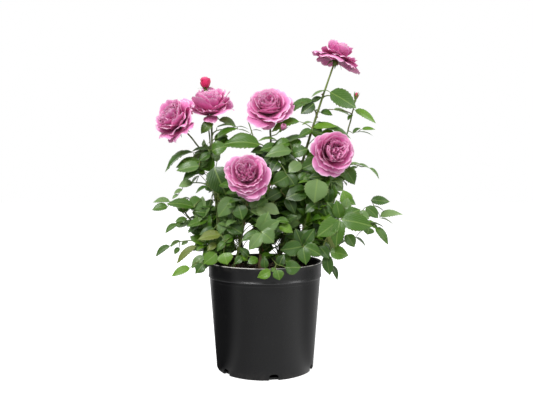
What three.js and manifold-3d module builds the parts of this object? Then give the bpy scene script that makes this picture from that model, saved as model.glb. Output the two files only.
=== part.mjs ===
// A shrub rose in bloom, growing in its black three-gallon nursery pot.
// Millimetres, +Z up, the front of the plant towards -Y, the origin at the middle of the pot's underside.
import * as THREE from 'three';
import { mergeVertices } from 'three/addons/utils/BufferGeometryUtils.js';
import Module from 'manifold-3d';

const wasm = await Module();
wasm.setup();

// Pot
const POT_HEIGHT = 254;
const RIM_RADIUS = 135;
const RIM_BAND = 35; // height of the thicker band round the top
const BAND_STEP = 3; // how far the band stands out from the wall
const BASE_RADIUS = 116.7;
const WALL = 2.4;
const FLOOR = 3;
const HEADSPACE = 24; // from the rim down to the potting mix
const POT_SIDES = 40;

// Drain notches round the bottom edge
const NOTCHES = 6;
const NOTCH_WIDTH = 22;
const NOTCH_HEIGHT = 14.5;
const NOTCH_BITE = 9; // how far each one reaches in from the wall
const FIRST_NOTCH = 10; // degrees round from the front, towards +X

// Plant
const MIX_TOP = POT_HEIGHT - HEADSPACE;
const GAP = 0.35; // left round every limb, flower and mass that another one meets
const FOOT_DEPTH = 6; // limbs are drawn from this far below the mix, then cut off flat at its surface
const FLARE = 0.5; // extra share of a cane's thickness at its foot
const FLARE_LENGTH = 16;
const LIMB_SIDES = 6;
const LIMB_STEPS = 5;
const ROSE_SIDES = 13;
const ROSE_DEPTH = 60;

const MATERIALS = {
  plastic: { color: '#1c1c1e', roughness: 0.38, metalness: 0 },
  mix: { color: '#3b2c22', roughness: 0.95, metalness: 0 },
  wood: { color: '#6b5238', roughness: 0.8, metalness: 0 },
  cane: { color: '#6d7a3c', roughness: 0.6, metalness: 0 },
  deep: { color: '#35552f', roughness: 0.6, metalness: 0 },
  leaf: { color: '#4a7138', roughness: 0.55, metalness: 0 },
  fresh: { color: '#6c9444', roughness: 0.5, metalness: 0 },
  petal: { color: '#c866a4', roughness: 0.55, metalness: 0 },
  bud: { color: '#d92f6c', roughness: 0.5, metalness: 0 },
};

// Canes rise out of the potting mix: foot is [x, y], bow is how far the middle is pushed aside.
const CANES = {
  main_stem: { foot: [-9, -14], tip: [2, 2, 352], bow: [-4, 0], radii: [8, 5.5], material: 'wood' },
  left_cane: { foot: [-86, -6], tip: [-128, 30, 602], bow: [-11, -14], radii: [5.2, 2.5] },
  front_rose_cane: { foot: [-78, -42], tip: [-38, -99, 441], bow: [8, 6], radii: [4.2, 2.6] },
  tall_cane: { foot: [26, 2], tip: [161, 22, 712], bow: [-10, 0], radii: [6, 2.6] },
  right_rose_cane: { foot: [56, -24], tip: [146, -46, 502], bow: [2, 0], radii: [5, 2.6] },
  right_bud_cane: { foot: [66, 18], tip: [219, 40, 639], bow: [16, 0], radii: [4.6, 1.8] },
  back_left_cane: { foot: [-42, 48], tip: [-96, 134, 446], bow: [-4, -10], radii: [5, 2.6] },
  back_right_cane: { foot: [22, 56], tip: [110, 138, 506], bow: [4, -10], radii: [5, 2.6] },
};

// Shoots leave another limb part of the way along it.
const SHOOTS = {
  centre_rose_stem: { from: ['main_stem', 0.94], tip: [12, 27, 597], bow: [6, -4], radii: [4.4, 2.5] },
  front_shoot: { from: ['main_stem', 0.35], tip: [-16, -140, 330], bow: [2, 14], radii: [3.4, 2.2] },
  left_rose_stem: { from: ['left_cane', 0.62], tip: [-197, -5, 571], bow: [9, 0], radii: [2.6, 2.1] },
  left_bud_stem: { from: ['left_cane', 0.68], tip: [-143, 40, 664], bow: [-2, 2], radii: [2.2, 1.7] },
  left_low_shoot: { from: ['left_cane', 0.1], tip: [-206, -6, 392], bow: [-6, 2], radii: [3.2, 2] },
  right_outer_shoot: { from: ['right_bud_cane', 0.12], tip: [268, 14, 372], bow: [-4, 2], radii: [3.2, 2] },
};

// Open flowers: each sits on the tip of its limb and looks the way given.
const ROSES = {
  left_rose: { on: 'left_rose_stem', looks: [-0.5, -0.6, 0.6], radius: 57 },
  upper_left_rose: { on: 'left_cane', looks: [0.1, -0.45, 0.89], radius: 55 },
  centre_rose: { on: 'centre_rose_stem', looks: [0, -0.7, 0.7], radius: 58 },
  top_rose: { on: 'tall_cane', looks: [0.25, -0.12, 0.95], radius: 53 },
  right_rose: { on: 'right_rose_cane', looks: [0.25, -0.93, 0.25], radius: 55 },
  front_rose: { on: 'front_rose_cane', looks: [0, -0.85, 0.5], radius: 57 },
};

const BUDS = {
  left_bud: { on: 'left_bud_stem', looks: [-0.1, 0, 1], radius: 14.5, length: 36 },
  right_bud: { on: 'right_bud_cane', looks: [0.15, 0, 1], radius: 5.5, length: 24 },
};

// Masses of foliage: where the middle is, and how far the longest leaves reach along X, Y and Z.
const FOLIAGE = {
  centre_core: { at: [44, 12, 418], reach: [76, 70, 80], material: 'deep' },
  right_core: { at: [122, -34, 412], reach: [52, 50, 64], material: 'deep' },
  centre_top: { at: [32, 2, 514], reach: [66, 46, 38] },
  left_mid_inner: { at: [-134, 4, 368], reach: [46, 46, 40], material: 'deep' },
  left_low_inner: { at: [-114, -46, 304], reach: [54, 50, 42] },
  right_low: { at: [158, -46, 290], reach: [62, 56, 60] },
  right_big: { at: [176, -84, 366], reach: [66, 52, 48], material: 'fresh' },
  front_low: { at: [80, -94, 298], reach: [50, 48, 44], material: 'deep' },
  centre_right: { at: [46, -54, 340], reach: [52, 56, 48] },
  front_spray: { at: [-16, -136, 342], reach: [46, 44, 46] },
  rim_front: { at: [-44, -62, 276], reach: [48, 50, 28] },
  rim_drape: { at: [24, -138, 262], reach: [46, 32, 28] },
  left_rim: { at: [-154, -54, 252], reach: [60, 42, 25] },
  under_front_rose: { at: [-70, -70, 382], reach: [44, 44, 38] },
  left_fork: { at: [-124, -16, 512], reach: [46, 40, 26] },
  left_cane_side: { at: [-122, -28, 440], reach: [42, 42, 38] },
  left_under_roses: { at: [-94, 8, 560], reach: [40, 42, 36] },
  long_leaf: { at: [-52, -6, 532], reach: [50, 32, 22], material: 'fresh' },
  left_upper_outer: { at: [-184, -8, 484], reach: [62, 42, 32] },
  left_thin: { at: [-184, 6, 432], reach: [52, 38, 30], material: 'fresh' },
  left_mid_outer: { at: [-200, -16, 388], reach: [70, 44, 28] },
  left_low_outer: { at: [-178, -10, 340], reach: [68, 48, 32] },
  left_low_tip: { at: [-208, 0, 292], reach: [60, 40, 30], material: 'fresh' },
  under_right_rose: { at: [186, -16, 446], reach: [46, 44, 46] },
  right_thin: { at: [230, 30, 474], reach: [54, 40, 26] },
  right_outer: { at: [278, 14, 376], reach: [52, 42, 34] },
  right_outer_low: { at: [236, -16, 324], reach: [58, 46, 38] },
  tall_mid: { at: [110, 4, 564], reach: [88, 44, 28] },
  tall_left: { at: [92, 18, 624], reach: [60, 40, 25] },
  tall_right: { at: [168, 10, 636], reach: [46, 34, 28], material: 'fresh' },
  under_right_bud: { at: [208, 34, 600], reach: [66, 38, 27] },
  back_left_high: { at: [-92, 126, 420], reach: [84, 88, 62] },
  back_left_low: { at: [-122, 106, 324], reach: [88, 92, 60], material: 'deep' },
  back_centre: { at: [8, 148, 408], reach: [78, 94, 92] },
  back_right_high: { at: [108, 124, 478], reach: [82, 90, 62] },
  back_right_low: { at: [138, 104, 342], reach: [96, 98, 70], material: 'deep' },
};

const CLUMP_SIDES = 8; // points round each level of a mass, every other one a leaf tip
const CLUMP_LEVELS = [-52, -16, 18, 54]; // degrees up or down from level
const CLUMP_BODY = 0.7; // share of the reach that a mass fills between its leaf tips

/** A repeatable stream of numbers between 0 and 1. */
function randomFrom(seed) {
  let state = seed;
  return () => {
    state = (state * 1664525 + 1013904223) % 4294967296;
    return state / 4294967296;
  };
}

/** Closes a stack of rings of points with one point at either end. */
function skin(start, rings, end) {
  const around = rings[0].length;
  const points = [start, ...rings.flat(), end];
  const at = (row, k) => 1 + row * around + (k % around);
  const faces = [];
  for (let k = 0; k < around; k += 1) {
    faces.push(0, at(0, k + 1), at(0, k));
    for (let row = 0; row + 1 < rings.length; row += 1) {
      faces.push(at(row, k), at(row, k + 1), at(row + 1, k + 1));
      faces.push(at(row, k), at(row + 1, k + 1), at(row + 1, k));
    }
    faces.push(points.length - 1, at(rings.length - 1, k), at(rings.length - 1, k + 1));
  }
  const geometry = new THREE.BufferGeometry();
  geometry.setFromPoints(points);
  geometry.setIndex(faces);
  return geometry;
}

/** The manifold solid inside a closed geometry. */
function solidOf(geometry) {
  const bare = new THREE.BufferGeometry();
  bare.setAttribute('position', geometry.getAttribute('position'));
  bare.setIndex(geometry.getIndex());
  const welded = mergeVertices(bare);
  return new wasm.Manifold(new wasm.Mesh({
    numProp: 3,
    vertProperties: Float32Array.from(welded.getAttribute('position').array),
    triVerts: Uint32Array.from(welded.getIndex().array),
  }));
}

/** The geometry of a manifold solid's surface. */
function geometryOf(solid) {
  const mesh = solid.getMesh();
  const geometry = new THREE.BufferGeometry();
  geometry.setAttribute('position', new THREE.BufferAttribute(mesh.vertProperties, mesh.numProp));
  geometry.setIndex(new THREE.BufferAttribute(mesh.triVerts, 1));
  geometry.computeVertexNormals();
  return geometry;
}

/** A profile of [radius, height] pairs turned about the Z axis, from one end on the axis to the other. */
function turned(profile, sides) {
  const rings = profile.slice(1, -1).map(([radius, z]) => Array.from({ length: sides }, (_, k) => {
    const angle = (2 * Math.PI * k) / sides;
    return new THREE.Vector3(radius * Math.cos(angle), radius * Math.sin(angle), z);
  }));
  return skin(new THREE.Vector3(0, 0, profile[0][1]), rings, new THREE.Vector3(0, 0, profile.at(-1)[1]));
}

// ---- pot and potting mix ----

const bandFoot = POT_HEIGHT - RIM_BAND;
const wallTop = RIM_RADIUS - BAND_STEP - 1;

/** The pot's inner face as [radius, height] pairs from the floor up, moved inwards by a clearance. */
function innerFace(clearance, top) {
  const inset = WALL + clearance;
  const bandRadius = (z) => RIM_RADIUS - 1 + (z - bandFoot) / RIM_BAND - inset;
  return [
    [BASE_RADIUS - inset, FLOOR + clearance],
    [wallTop - inset, bandFoot - 4],
    [bandRadius(bandFoot), bandFoot - 1],
    [bandRadius(top), top],
  ];
}

/** The pot's wall, band and floor. */
function potShell(grow = 0) {
  const outer = [
    [BASE_RADIUS - 2, 0],
    [BASE_RADIUS, 2],
    [wallTop, bandFoot - 3],
    [RIM_RADIUS - 1, bandFoot],
    [RIM_RADIUS, POT_HEIGHT - 2],
    [RIM_RADIUS - 0.8, POT_HEIGHT],
  ].map(([radius, z]) => [radius + grow, z === POT_HEIGHT ? z + grow : z]);
  const inner = innerFace(grow, POT_HEIGHT + grow).reverse();
  return solidOf(turned([[0, 0], ...outer, ...inner, [0, FLOOR]], POT_SIDES));
}

/** One arched drain notch, standing on the Z = 0 plane at the pot's wall. */
function notchCutter(bearing) {
  const half = NOTCH_WIDTH / 2;
  const arch = new THREE.Shape();
  arch.moveTo(-half, -1);
  arch.lineTo(half, -1);
  arch.lineTo(half, NOTCH_HEIGHT - half);
  arch.absarc(0, NOTCH_HEIGHT - half, half, 0, Math.PI, false);
  arch.closePath();
  const reach = { depth: NOTCH_BITE + 3, bevelEnabled: false, curveSegments: 5 };
  const cutter = new THREE.ExtrudeGeometry(arch, reach);
  cutter.rotateX(Math.PI / 2);
  cutter.translate(0, -BASE_RADIUS + NOTCH_BITE, 0);
  cutter.rotateZ(THREE.MathUtils.degToRad(bearing));
  return solidOf(cutter);
}

/** The pot with its drain notches. */
function pot() {
  let shell = potShell();
  for (let k = 0; k < NOTCHES; k += 1) {
    shell = shell.subtract(notchCutter(FIRST_NOTCH + (360 / NOTCHES) * k));
  }
  return shell;
}

/** The potting mix, filling the pot to its headspace. */
function pottingMix(grow = 0) {
  const side = innerFace(GAP - grow, MIX_TOP + grow);
  return solidOf(turned([[0, FLOOR + GAP - grow], ...side, [0, MIX_TOP + grow]], POT_SIDES));
}

// ---- limbs ----

const limbs = {}; // by name, each with its centre line

/** The centre line of a limb, bowed sideways at its middle. */
function limbLine({ start, tip, bow }) {
  const end = new THREE.Vector3(...tip);
  const middle = start.clone().add(end).multiplyScalar(0.5);
  middle.x += 2 * bow[0];
  middle.y += 2 * bow[1];
  return new THREE.QuadraticBezierCurve3(start, middle, end);
}

/** A tapering limb, flared at its foot where it comes out of the mix. */
function limbSolid({ line, radii, flare }, grow = 0) {
  const { normals, binormals } = line.computeFrenetFrames(LIMB_STEPS, false);
  const length = line.getLength();
  const rings = normals.map((normal, step) => {
    const along = step / LIMB_STEPS;
    const swell = flare * FLARE * radii[0] * Math.exp((-along * length) / FLARE_LENGTH);
    const radius = THREE.MathUtils.lerp(radii[0], radii[1], along) + swell + grow;
    const centre = line.getPointAt(along);
    return Array.from({ length: LIMB_SIDES }, (_, k) => {
      const angle = (2 * Math.PI * k) / LIMB_SIDES;
      return centre.clone()
        .addScaledVector(normal, radius * Math.cos(angle))
        .addScaledVector(binormals[step], radius * Math.sin(angle));
    });
  });
  const beyond = line.getTangentAt(1).multiplyScalar(0.6 + grow);
  return solidOf(skin(line.getPointAt(0), rings, line.getPointAt(1).add(beyond)));
}

for (const [name, cane] of Object.entries(CANES)) {
  const start = new THREE.Vector3(cane.foot[0], cane.foot[1], MIX_TOP - FOOT_DEPTH);
  limbs[name] = { ...cane, line: limbLine({ start, ...cane }), flare: 1 };
}
for (const [name, shoot] of Object.entries(SHOOTS)) {
  const start = limbs[shoot.from[0]].line.getPointAt(shoot.from[1]);
  limbs[name] = { ...shoot, line: limbLine({ start, ...shoot }), flare: 0 };
}

// ---- flowers ----

// From the calyx, over the reflexed guard petals, to the heart: share of the radius, share of the
// depth, how deeply the edge is waved, and how many petals share it. Grooves lie between the whorls.
const ROSE_WHORLS = [
  { radius: 0.2, height: 0.04, wave: 0, petals: 5 },
  { radius: 0.66, height: 0.22, wave: 0.05, petals: 5 },
  { radius: 0.95, height: 0.5, wave: 0.09, petals: 5 },
  { radius: 0.86, height: 0.66, wave: 0.07, petals: 5 },
  { radius: 0.7, height: 0.62, wave: 0.04, petals: 5, groove: true },
  { radius: 0.62, height: 0.88, wave: 0.07, petals: 4 },
  { radius: 0.46, height: 0.78, wave: 0.04, petals: 4, groove: true },
  { radius: 0.34, height: 0.98, wave: 0.08, petals: 3 },
  { radius: 0.16, height: 0.8, wave: 0, petals: 3, groove: true },
];

/** Turns a flower drawn up the Z axis to look the given way, with its calyx on the tip of its limb. */
function onTip(geometry, { on, looks }) {
  const up = new THREE.Vector3(0, 0, 1);
  const facing = new THREE.Vector3(...looks).normalize();
  geometry.applyQuaternion(new THREE.Quaternion().setFromUnitVectors(up, facing));
  const tip = limbs[on].line.getPointAt(1);
  geometry.translate(tip.x, tip.y, tip.z);
  return solidOf(geometry);
}

/** An open flower. Grown, it is the smooth shape that clears it, with no grooves. */
function roseSolid(rose, turn, grow = 0) {
  const whorls = ROSE_WHORLS.filter(({ groove }) => !(grow && groove));
  const rings = whorls.map(({ radius, height, wave, petals }) => (
    Array.from({ length: ROSE_SIDES }, (_, k) => {
      const angle = (2 * Math.PI * k) / ROSE_SIDES;
      const phase = petals * angle + turn + 9 * height;
      const out = rose.radius * radius * (1 + wave * Math.cos(phase)) + grow;
      const lift = ROSE_DEPTH * (height + wave * 0.5 * Math.sin(phase)) + grow * (2 * height - 1);
      return new THREE.Vector3(out * Math.cos(angle), out * Math.sin(angle), lift);
    })
  ));
  const calyx = new THREE.Vector3(0, 0, -1 - grow);
  const heart = new THREE.Vector3(0, 0, ROSE_DEPTH * (grow ? 1.02 : 0.76));
  return onTip(skin(calyx, rings, heart), rose);
}

/** A closed bud, pointed at its top. */
function budSolid(bud, grow = 0) {
  const outline = [[0.45, 0.06], [0.85, 0.2], [1, 0.42], [0.82, 0.7], [0.4, 0.92]];
  const profile = outline.map(([radius, height]) => [bud.radius * radius + grow, bud.length * height]);
  return onTip(turned([[0, -0.5 - grow], ...profile, [0, bud.length + grow]], 10), bud);
}

// ---- foliage ----

/** An uneven clump with leaf tips standing out all round it. */
function massSolid({ at, reach }, seed, grow = 0) {
  const random = randomFrom(seed);
  const turn = 2 * Math.PI * random();
  const point = (bearing, rise, out) => new THREE.Vector3(
    at[0] + (reach[0] * out + grow) * Math.cos(bearing) * Math.cos(rise),
    at[1] + (reach[1] * out + grow) * Math.sin(bearing) * Math.cos(rise),
    at[2] + (reach[2] * out + grow) * Math.sin(rise),
  );
  const rings = CLUMP_LEVELS.map((level, row) => Array.from({ length: CLUMP_SIDES }, (_, k) => {
    const isTip = (k + row) % 2 === 0;
    const bearing = turn + ((k + 0.5 * random() - 0.25) * 2 * Math.PI) / CLUMP_SIDES;
    const rise = THREE.MathUtils.degToRad(level + 12 * random() - 6);
    const out = isTip ? 0.9 + 0.14 * random() : CLUMP_BODY + 0.12 * random();
    return point(bearing, rise, out);
  }));
  return solidOf(skin(point(0, -Math.PI / 2, 0.8), rings, point(0, Math.PI / 2, 0.95)));
}

// ---- assembly ----

const plant = new THREE.Group();
plant.name = 'potted_rose_bush';
const cutters = []; // everything placed so far, each a little larger than it is

/** What is left of a solid clear of everything already placed: its largest piece. */
function clearOfOthers(solid) {
  let rest = solid;
  for (const cutter of cutters) rest = rest.subtract(cutter);
  return rest.decompose().reduce((best, piece) => (piece.volume() > best.volume() ? piece : best));
}

/** Adds a solid to the plant, and its grown copy to the cutters. */
function place(name, solid, material, grown) {
  const mesh = new THREE.Mesh(geometryOf(solid), new THREE.MeshStandardMaterial(MATERIALS[material]));
  mesh.name = name;
  plant.add(mesh);
  cutters.push(grown);
}

place('pot', pot(), 'plastic', potShell(GAP));
place('potting_mix', pottingMix(), 'mix', pottingMix(GAP));
for (const [name, limb] of Object.entries(limbs)) {
  place(name, clearOfOthers(limbSolid(limb)), limb.material ?? 'cane', limbSolid(limb, GAP));
}
Object.entries(ROSES).forEach(([name, rose], turn) => {
  place(name, clearOfOthers(roseSolid(rose, turn)), 'petal', roseSolid(rose, turn, GAP));
});
for (const [name, bud] of Object.entries(BUDS)) {
  place(name, clearOfOthers(budSolid(bud)), 'bud', budSolid(bud, GAP));
}
Object.entries(FOLIAGE).forEach(([name, mass], order) => {
  const seed = 1000 + 77 * order;
  const clump = clearOfOthers(massSolid(mass, seed));
  place(`foliage_${name}`, clump, mass.material ?? 'leaf', massSolid(mass, seed, 2 * GAP));
});

export default plant;
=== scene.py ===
"""A rose bush in its black nursery pot: canes, leaves, blooms, mix and pot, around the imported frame."""

import math
import random
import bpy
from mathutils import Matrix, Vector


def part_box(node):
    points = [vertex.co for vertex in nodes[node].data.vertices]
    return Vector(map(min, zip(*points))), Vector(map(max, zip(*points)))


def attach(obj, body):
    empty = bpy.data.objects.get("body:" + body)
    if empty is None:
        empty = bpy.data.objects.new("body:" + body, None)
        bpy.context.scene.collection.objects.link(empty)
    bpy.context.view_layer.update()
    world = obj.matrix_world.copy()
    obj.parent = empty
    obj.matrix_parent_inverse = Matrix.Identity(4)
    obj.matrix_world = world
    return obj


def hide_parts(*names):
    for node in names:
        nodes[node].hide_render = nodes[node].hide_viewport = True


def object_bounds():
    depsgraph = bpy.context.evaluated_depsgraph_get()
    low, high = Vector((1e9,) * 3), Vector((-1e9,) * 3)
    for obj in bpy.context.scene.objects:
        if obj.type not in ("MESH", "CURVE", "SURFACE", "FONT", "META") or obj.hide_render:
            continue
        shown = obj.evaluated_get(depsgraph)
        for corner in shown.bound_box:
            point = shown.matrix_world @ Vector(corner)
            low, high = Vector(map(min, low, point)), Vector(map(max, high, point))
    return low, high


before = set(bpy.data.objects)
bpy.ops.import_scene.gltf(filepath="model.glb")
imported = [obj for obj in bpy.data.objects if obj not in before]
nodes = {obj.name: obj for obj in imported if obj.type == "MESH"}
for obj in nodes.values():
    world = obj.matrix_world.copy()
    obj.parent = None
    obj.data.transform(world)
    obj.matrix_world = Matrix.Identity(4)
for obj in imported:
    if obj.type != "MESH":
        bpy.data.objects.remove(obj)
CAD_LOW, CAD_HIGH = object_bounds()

from types import SimpleNamespace

import bmesh
import bpy
import numpy as np
from mathutils import Matrix, Vector, noise

MM = 0.001
UP = Vector((0.0, 0.0, 1.0))
FRONT = Vector((0.0, -1.0, 0.0))
# The turn from one leaf or petal to the next, in radians.
GOLDEN_TURN = 2.39996
WHITE = (1.0, 1.0, 1.0, 1.0)
scene = bpy.context.scene


def add_object(name, data):
    made = bpy.data.objects.new(name, data)
    scene.collection.objects.link(made)
    return made


# ---- camera ----

EYE = Vector((0.0036, -1.440, 0.452))


def set_camera():
    lens = bpy.data.cameras.new("camera")
    lens.sensor_width = 36.0
    lens.lens = 41.0
    lens.clip_start = 0.05
    lens.clip_end = 60.0
    camera = add_object("camera", lens)
    camera.location = EYE
    camera.rotation_euler = (math.radians(87.0), 0.0, 0.0)
    scene.camera = camera


set_camera()


# ---- how nodes are written ----


def srgb(red, green, blue):
    """A colour from a swatch book, 0 to 255 a channel, as the shader's linear numbers."""
    linear = []
    for share in (red / 255.0, green / 255.0, blue / 255.0):
        linear.append(share / 12.92 if share <= 0.04045 else ((share + 0.055) / 1.055) ** 2.4)
    return (*linear, 1.0)


class Number:
    """A number that changes over a surface. Arithmetic on it adds Math nodes to its owner's tree."""

    def __init__(self, owner, socket):
        self.owner = owner
        self.socket = socket

    def worked(self, operation, first, second=0.0):
        return self.owner.number("ShaderNodeMath", {"operation": operation}, {0: first, 1: second})

    def __add__(self, other):
        return self.worked("ADD", self, other)

    def __radd__(self, other):
        return self.worked("ADD", other, self)

    def __sub__(self, other):
        return self.worked("SUBTRACT", self, other)

    def __rsub__(self, other):
        return self.worked("SUBTRACT", other, self)

    def __mul__(self, other):
        return self.worked("MULTIPLY", self, other)

    def __rmul__(self, other):
        return self.worked("MULTIPLY", other, self)

    def size(self):
        return self.worked("ABSOLUTE", self)

    def wave(self):
        return self.worked("SINE", self)

    def part(self):
        return self.worked("FRACT", self)

    def fade(self, low, high):
        """0 below low, 1 above high, smooth between."""
        settings = {"interpolation_type": "SMOOTHSTEP"}
        return self.owner.number("ShaderNodeMapRange", settings, {0: self, 1: low, 2: high})


class Nodes:
    """A node tree, and the one way in which nodes are added to it."""

    def __init__(self, tree):
        self.tree = tree

    def node(self, kind, settings, sockets):
        made = self.tree.nodes.new(kind)
        for label, value in settings.items():
            if label == "stops":
                set_stops(made.color_ramp, value)
            else:
                setattr(made, label, value)
        for label, value in sockets.items():
            self.feed(made.inputs[label], value)
        return made

    def feed(self, socket, value):
        if isinstance(value, Number):
            value = value.socket
        if isinstance(value, bpy.types.NodeSocket):
            self.tree.links.new(value, socket)
        else:
            socket.default_value = value

    def number(self, kind, settings, sockets, output=0):
        return Number(self, self.node(kind, settings, sockets).outputs[output])

    def parts(self, place):
        """The three numbers of a place."""
        return [Number(self, socket) for socket in self.node("ShaderNodeSeparateXYZ", {}, {0: place}).outputs]

    def ramp(self, number, stops):
        return self.node("ShaderNodeValToRGB", {"stops": stops}, {0: number}).outputs[0]

    def mix(self, share, first, second):
        settings = {"data_type": "RGBA", "clamp_factor": True}
        return self.node("ShaderNodeMix", settings, {0: share, 6: first, 7: second}).outputs[2]


def set_stops(ramp, stops):
    while len(ramp.elements) > 1:
        ramp.elements.remove(ramp.elements[-1])
    ramp.elements[0].position, ramp.elements[0].color = stops[0]
    for place, colour in stops[1:]:
        ramp.elements.new(place).color = colour


class Finish(Nodes):
    """A procedural material around one Principled shader."""

    def __init__(self, name, **fixed):
        self.material = bpy.data.materials.new(name)
        self.material.use_nodes = True
        super().__init__(self.material.node_tree)
        self.shader = self.tree.nodes["Principled BSDF"]
        self.set(**fixed)

    def set(self, **values):
        for label, value in values.items():
            self.feed(self.shader.inputs[label.replace("_", " ")], value)

    def place(self):
        return self.node("ShaderNodeTexCoord", {}, {}).outputs["Object"]

    def height(self):
        """The height above the floor."""
        return self.parts(self.place())[2]

    def along(self):
        """The piece's own map as two numbers: across and along."""
        return self.parts(self.node("ShaderNodeUVMap", {"uv_map": "UVMap"}, {}).outputs[0])[:2]

    def carried(self, name):
        """A number that the mesh carries."""
        return self.number("ShaderNodeAttribute", {"attribute_name": name}, {}, "Fac")

    def stretched(self, stretch):
        return self.node("ShaderNodeMapping", {}, {"Vector": self.place(), "Scale": stretch}).outputs[0]

    def cloud(self, scale, detail=3.0, stretch=(1.0, 1.0, 1.0), roughness=0.5):
        sockets = {"Vector": self.stretched(stretch), "Scale": scale, "Detail": detail,
                   "Roughness": roughness}
        return self.number("ShaderNodeTexNoise", {}, sockets)

    def cells(self, scale, stretch):
        sockets = {"Vector": self.stretched(stretch), "Scale": scale}
        return self.number("ShaderNodeTexVoronoi", {}, sockets, "Distance")

    def relief(self, height, strength, depth):
        sockets = {"Height": height, "Strength": strength, "Distance": depth}
        return self.node("ShaderNodeBump", {}, sockets).outputs[0]

    def let_light_through(self, colour, share):
        """Light from behind shows through thin leaves and petals."""
        thin = self.node("ShaderNodeBsdfTranslucent", {}, {"Color": colour})
        both = self.node("ShaderNodeMixShader", {}, {0: share, 1: self.shader.outputs[0], 2: thin.outputs[0]})
        self.feed(self.tree.nodes["Material Output"].inputs["Surface"], both.outputs[0])


# ---- finishes ----

LEAF_TINTS = {
    "deep": (srgb(30, 64, 3), srgb(50, 88, 9)),
    "mid": (srgb(42, 84, 5), srgb(72, 114, 16)),
    "sage": (srgb(76, 114, 46), srgb(126, 156, 94)),
    "fresh": (srgb(70, 118, 8), srgb(106, 150, 26)),
    "olive": (srgb(88, 106, 36), srgb(122, 134, 58)),
}


def leaf_finish(tint):
    """A rose leaf: paler rib and side veins, uneven green from leaf to leaf, a soft waxy shine."""
    dark, light = LEAF_TINTS[tint]
    finish = Finish("leaf_" + tint, Specular_IOR_Level=0.62)
    across, along = finish.along()
    side = (across - 0.5).size()
    rib = 1.0 - side.fade(0.012, 0.045)
    veins = ((along * 8.0 - side * 9.0).part() - 0.5).size()
    vein_lines = (1.0 - veins.fade(0.03, 0.16)) * side.fade(0.0, 0.06)
    tone = finish.carried("tone")
    patches = finish.cloud(26.0, 2.0)
    colour = finish.mix(tone * 0.75 + patches * 0.35, dark, light)
    colour = finish.mix(rib * 0.46, colour, srgb(146, 172, 88))
    colour = finish.mix(vein_lines * 0.19, colour, srgb(138, 166, 92))
    colour = finish.mix(side.fade(0.36, 0.5) * 0.25, colour, srgb(120, 120, 60))
    height = (1.0 - vein_lines) * 0.6 + (1.0 - rib) * 0.4
    finish.set(Base_Color=colour, Roughness=0.27 + patches * 0.16, Normal=finish.relief(height, 0.5, 0.0009))
    finish.let_light_through(light, 0.16)
    return finish.material


def petal_finish(name, heart, body, lip_highlight, edge, through):
    """A petal: deep at its foot, pale at its lip where a painted highlight runs along it, with fine veins
    running out to the edge.
    """
    finish = Finish(name, Specular_IOR_Level=0.28, Sheen_Weight=0.25, Sheen_Roughness=0.45)
    across, along = finish.along()
    blush = finish.carried("blush")
    tone = finish.carried("tone")
    lines = (across * 95.0 + finish.cloud(55.0, 2.0) * 2.5).wave() * 0.5 + 0.5
    # The lip and edge stops are the pale pinks of the painted highlight along a petal's lip.
    colour = finish.ramp(blush + (tone - 0.5) * 0.16, [(0.0, heart), (0.46, body), (0.82, lip_highlight), (1.0, edge)])
    colour = finish.mix(lines * along.fade(0.15, 0.6) * 0.10, colour, heart)
    colour = finish.mix(finish.cloud(38.0, 3.0).fade(0.45, 0.75) * 0.16, colour, edge)
    finish.set(Base_Color=colour, Roughness=0.5 + finish.cloud(60.0, 2.0) * 0.14,
               Normal=finish.relief(lines, 0.12, 0.0004))
    finish.let_light_through(through, 0.14)
    return finish.material


def bark_finish(name, low, high, scar, shine, young=None):
    """Cane skin: long streaks, small pale lenticels, darker old leaf scars, and greener towards the top."""
    finish = Finish(name, Specular_IOR_Level=0.35)
    streak = finish.cloud(260.0, 4.0, (1.0, 1.0, 0.12))
    patches = finish.cloud(14.0, 3.0)
    pores = 1.0 - finish.cells(420.0, (1.0, 1.0, 0.45)).fade(0.10, 0.24)
    colour = finish.mix(streak * 0.55 + patches * 0.45, low, high)
    colour = finish.mix(patches.fade(0.52, 0.72) * 0.5, colour, scar)
    colour = finish.mix(pores * 0.30, colour, srgb(168, 150, 112))
    if young:
        colour = finish.mix(finish.height().fade(0.55, 0.66) * 0.9, colour, young)
    finish.set(Base_Color=colour, Roughness=shine + streak * 0.18)
    finish.set(Normal=finish.relief(streak * 0.7 + pores * 0.3, 0.5, 0.0007))
    return finish.material


# Heights on the pot in m: its scuffed foot, a faint painted highlight line below the bead, the bead below the
# rim band with its painted highlight line, the dusty top of the band and the painted highlight along the edge
# of the lip.
SCUFFED_FOOT = (0.004, 0.030)
SECOND_HIGHLIGHT_LINE = 0.2120
BEAD = 0.2197
DUSTY_BAND = (0.2385, 0.2530)
LIP_HIGHLIGHT_BAND = (0.2522, 0.2534)


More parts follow.
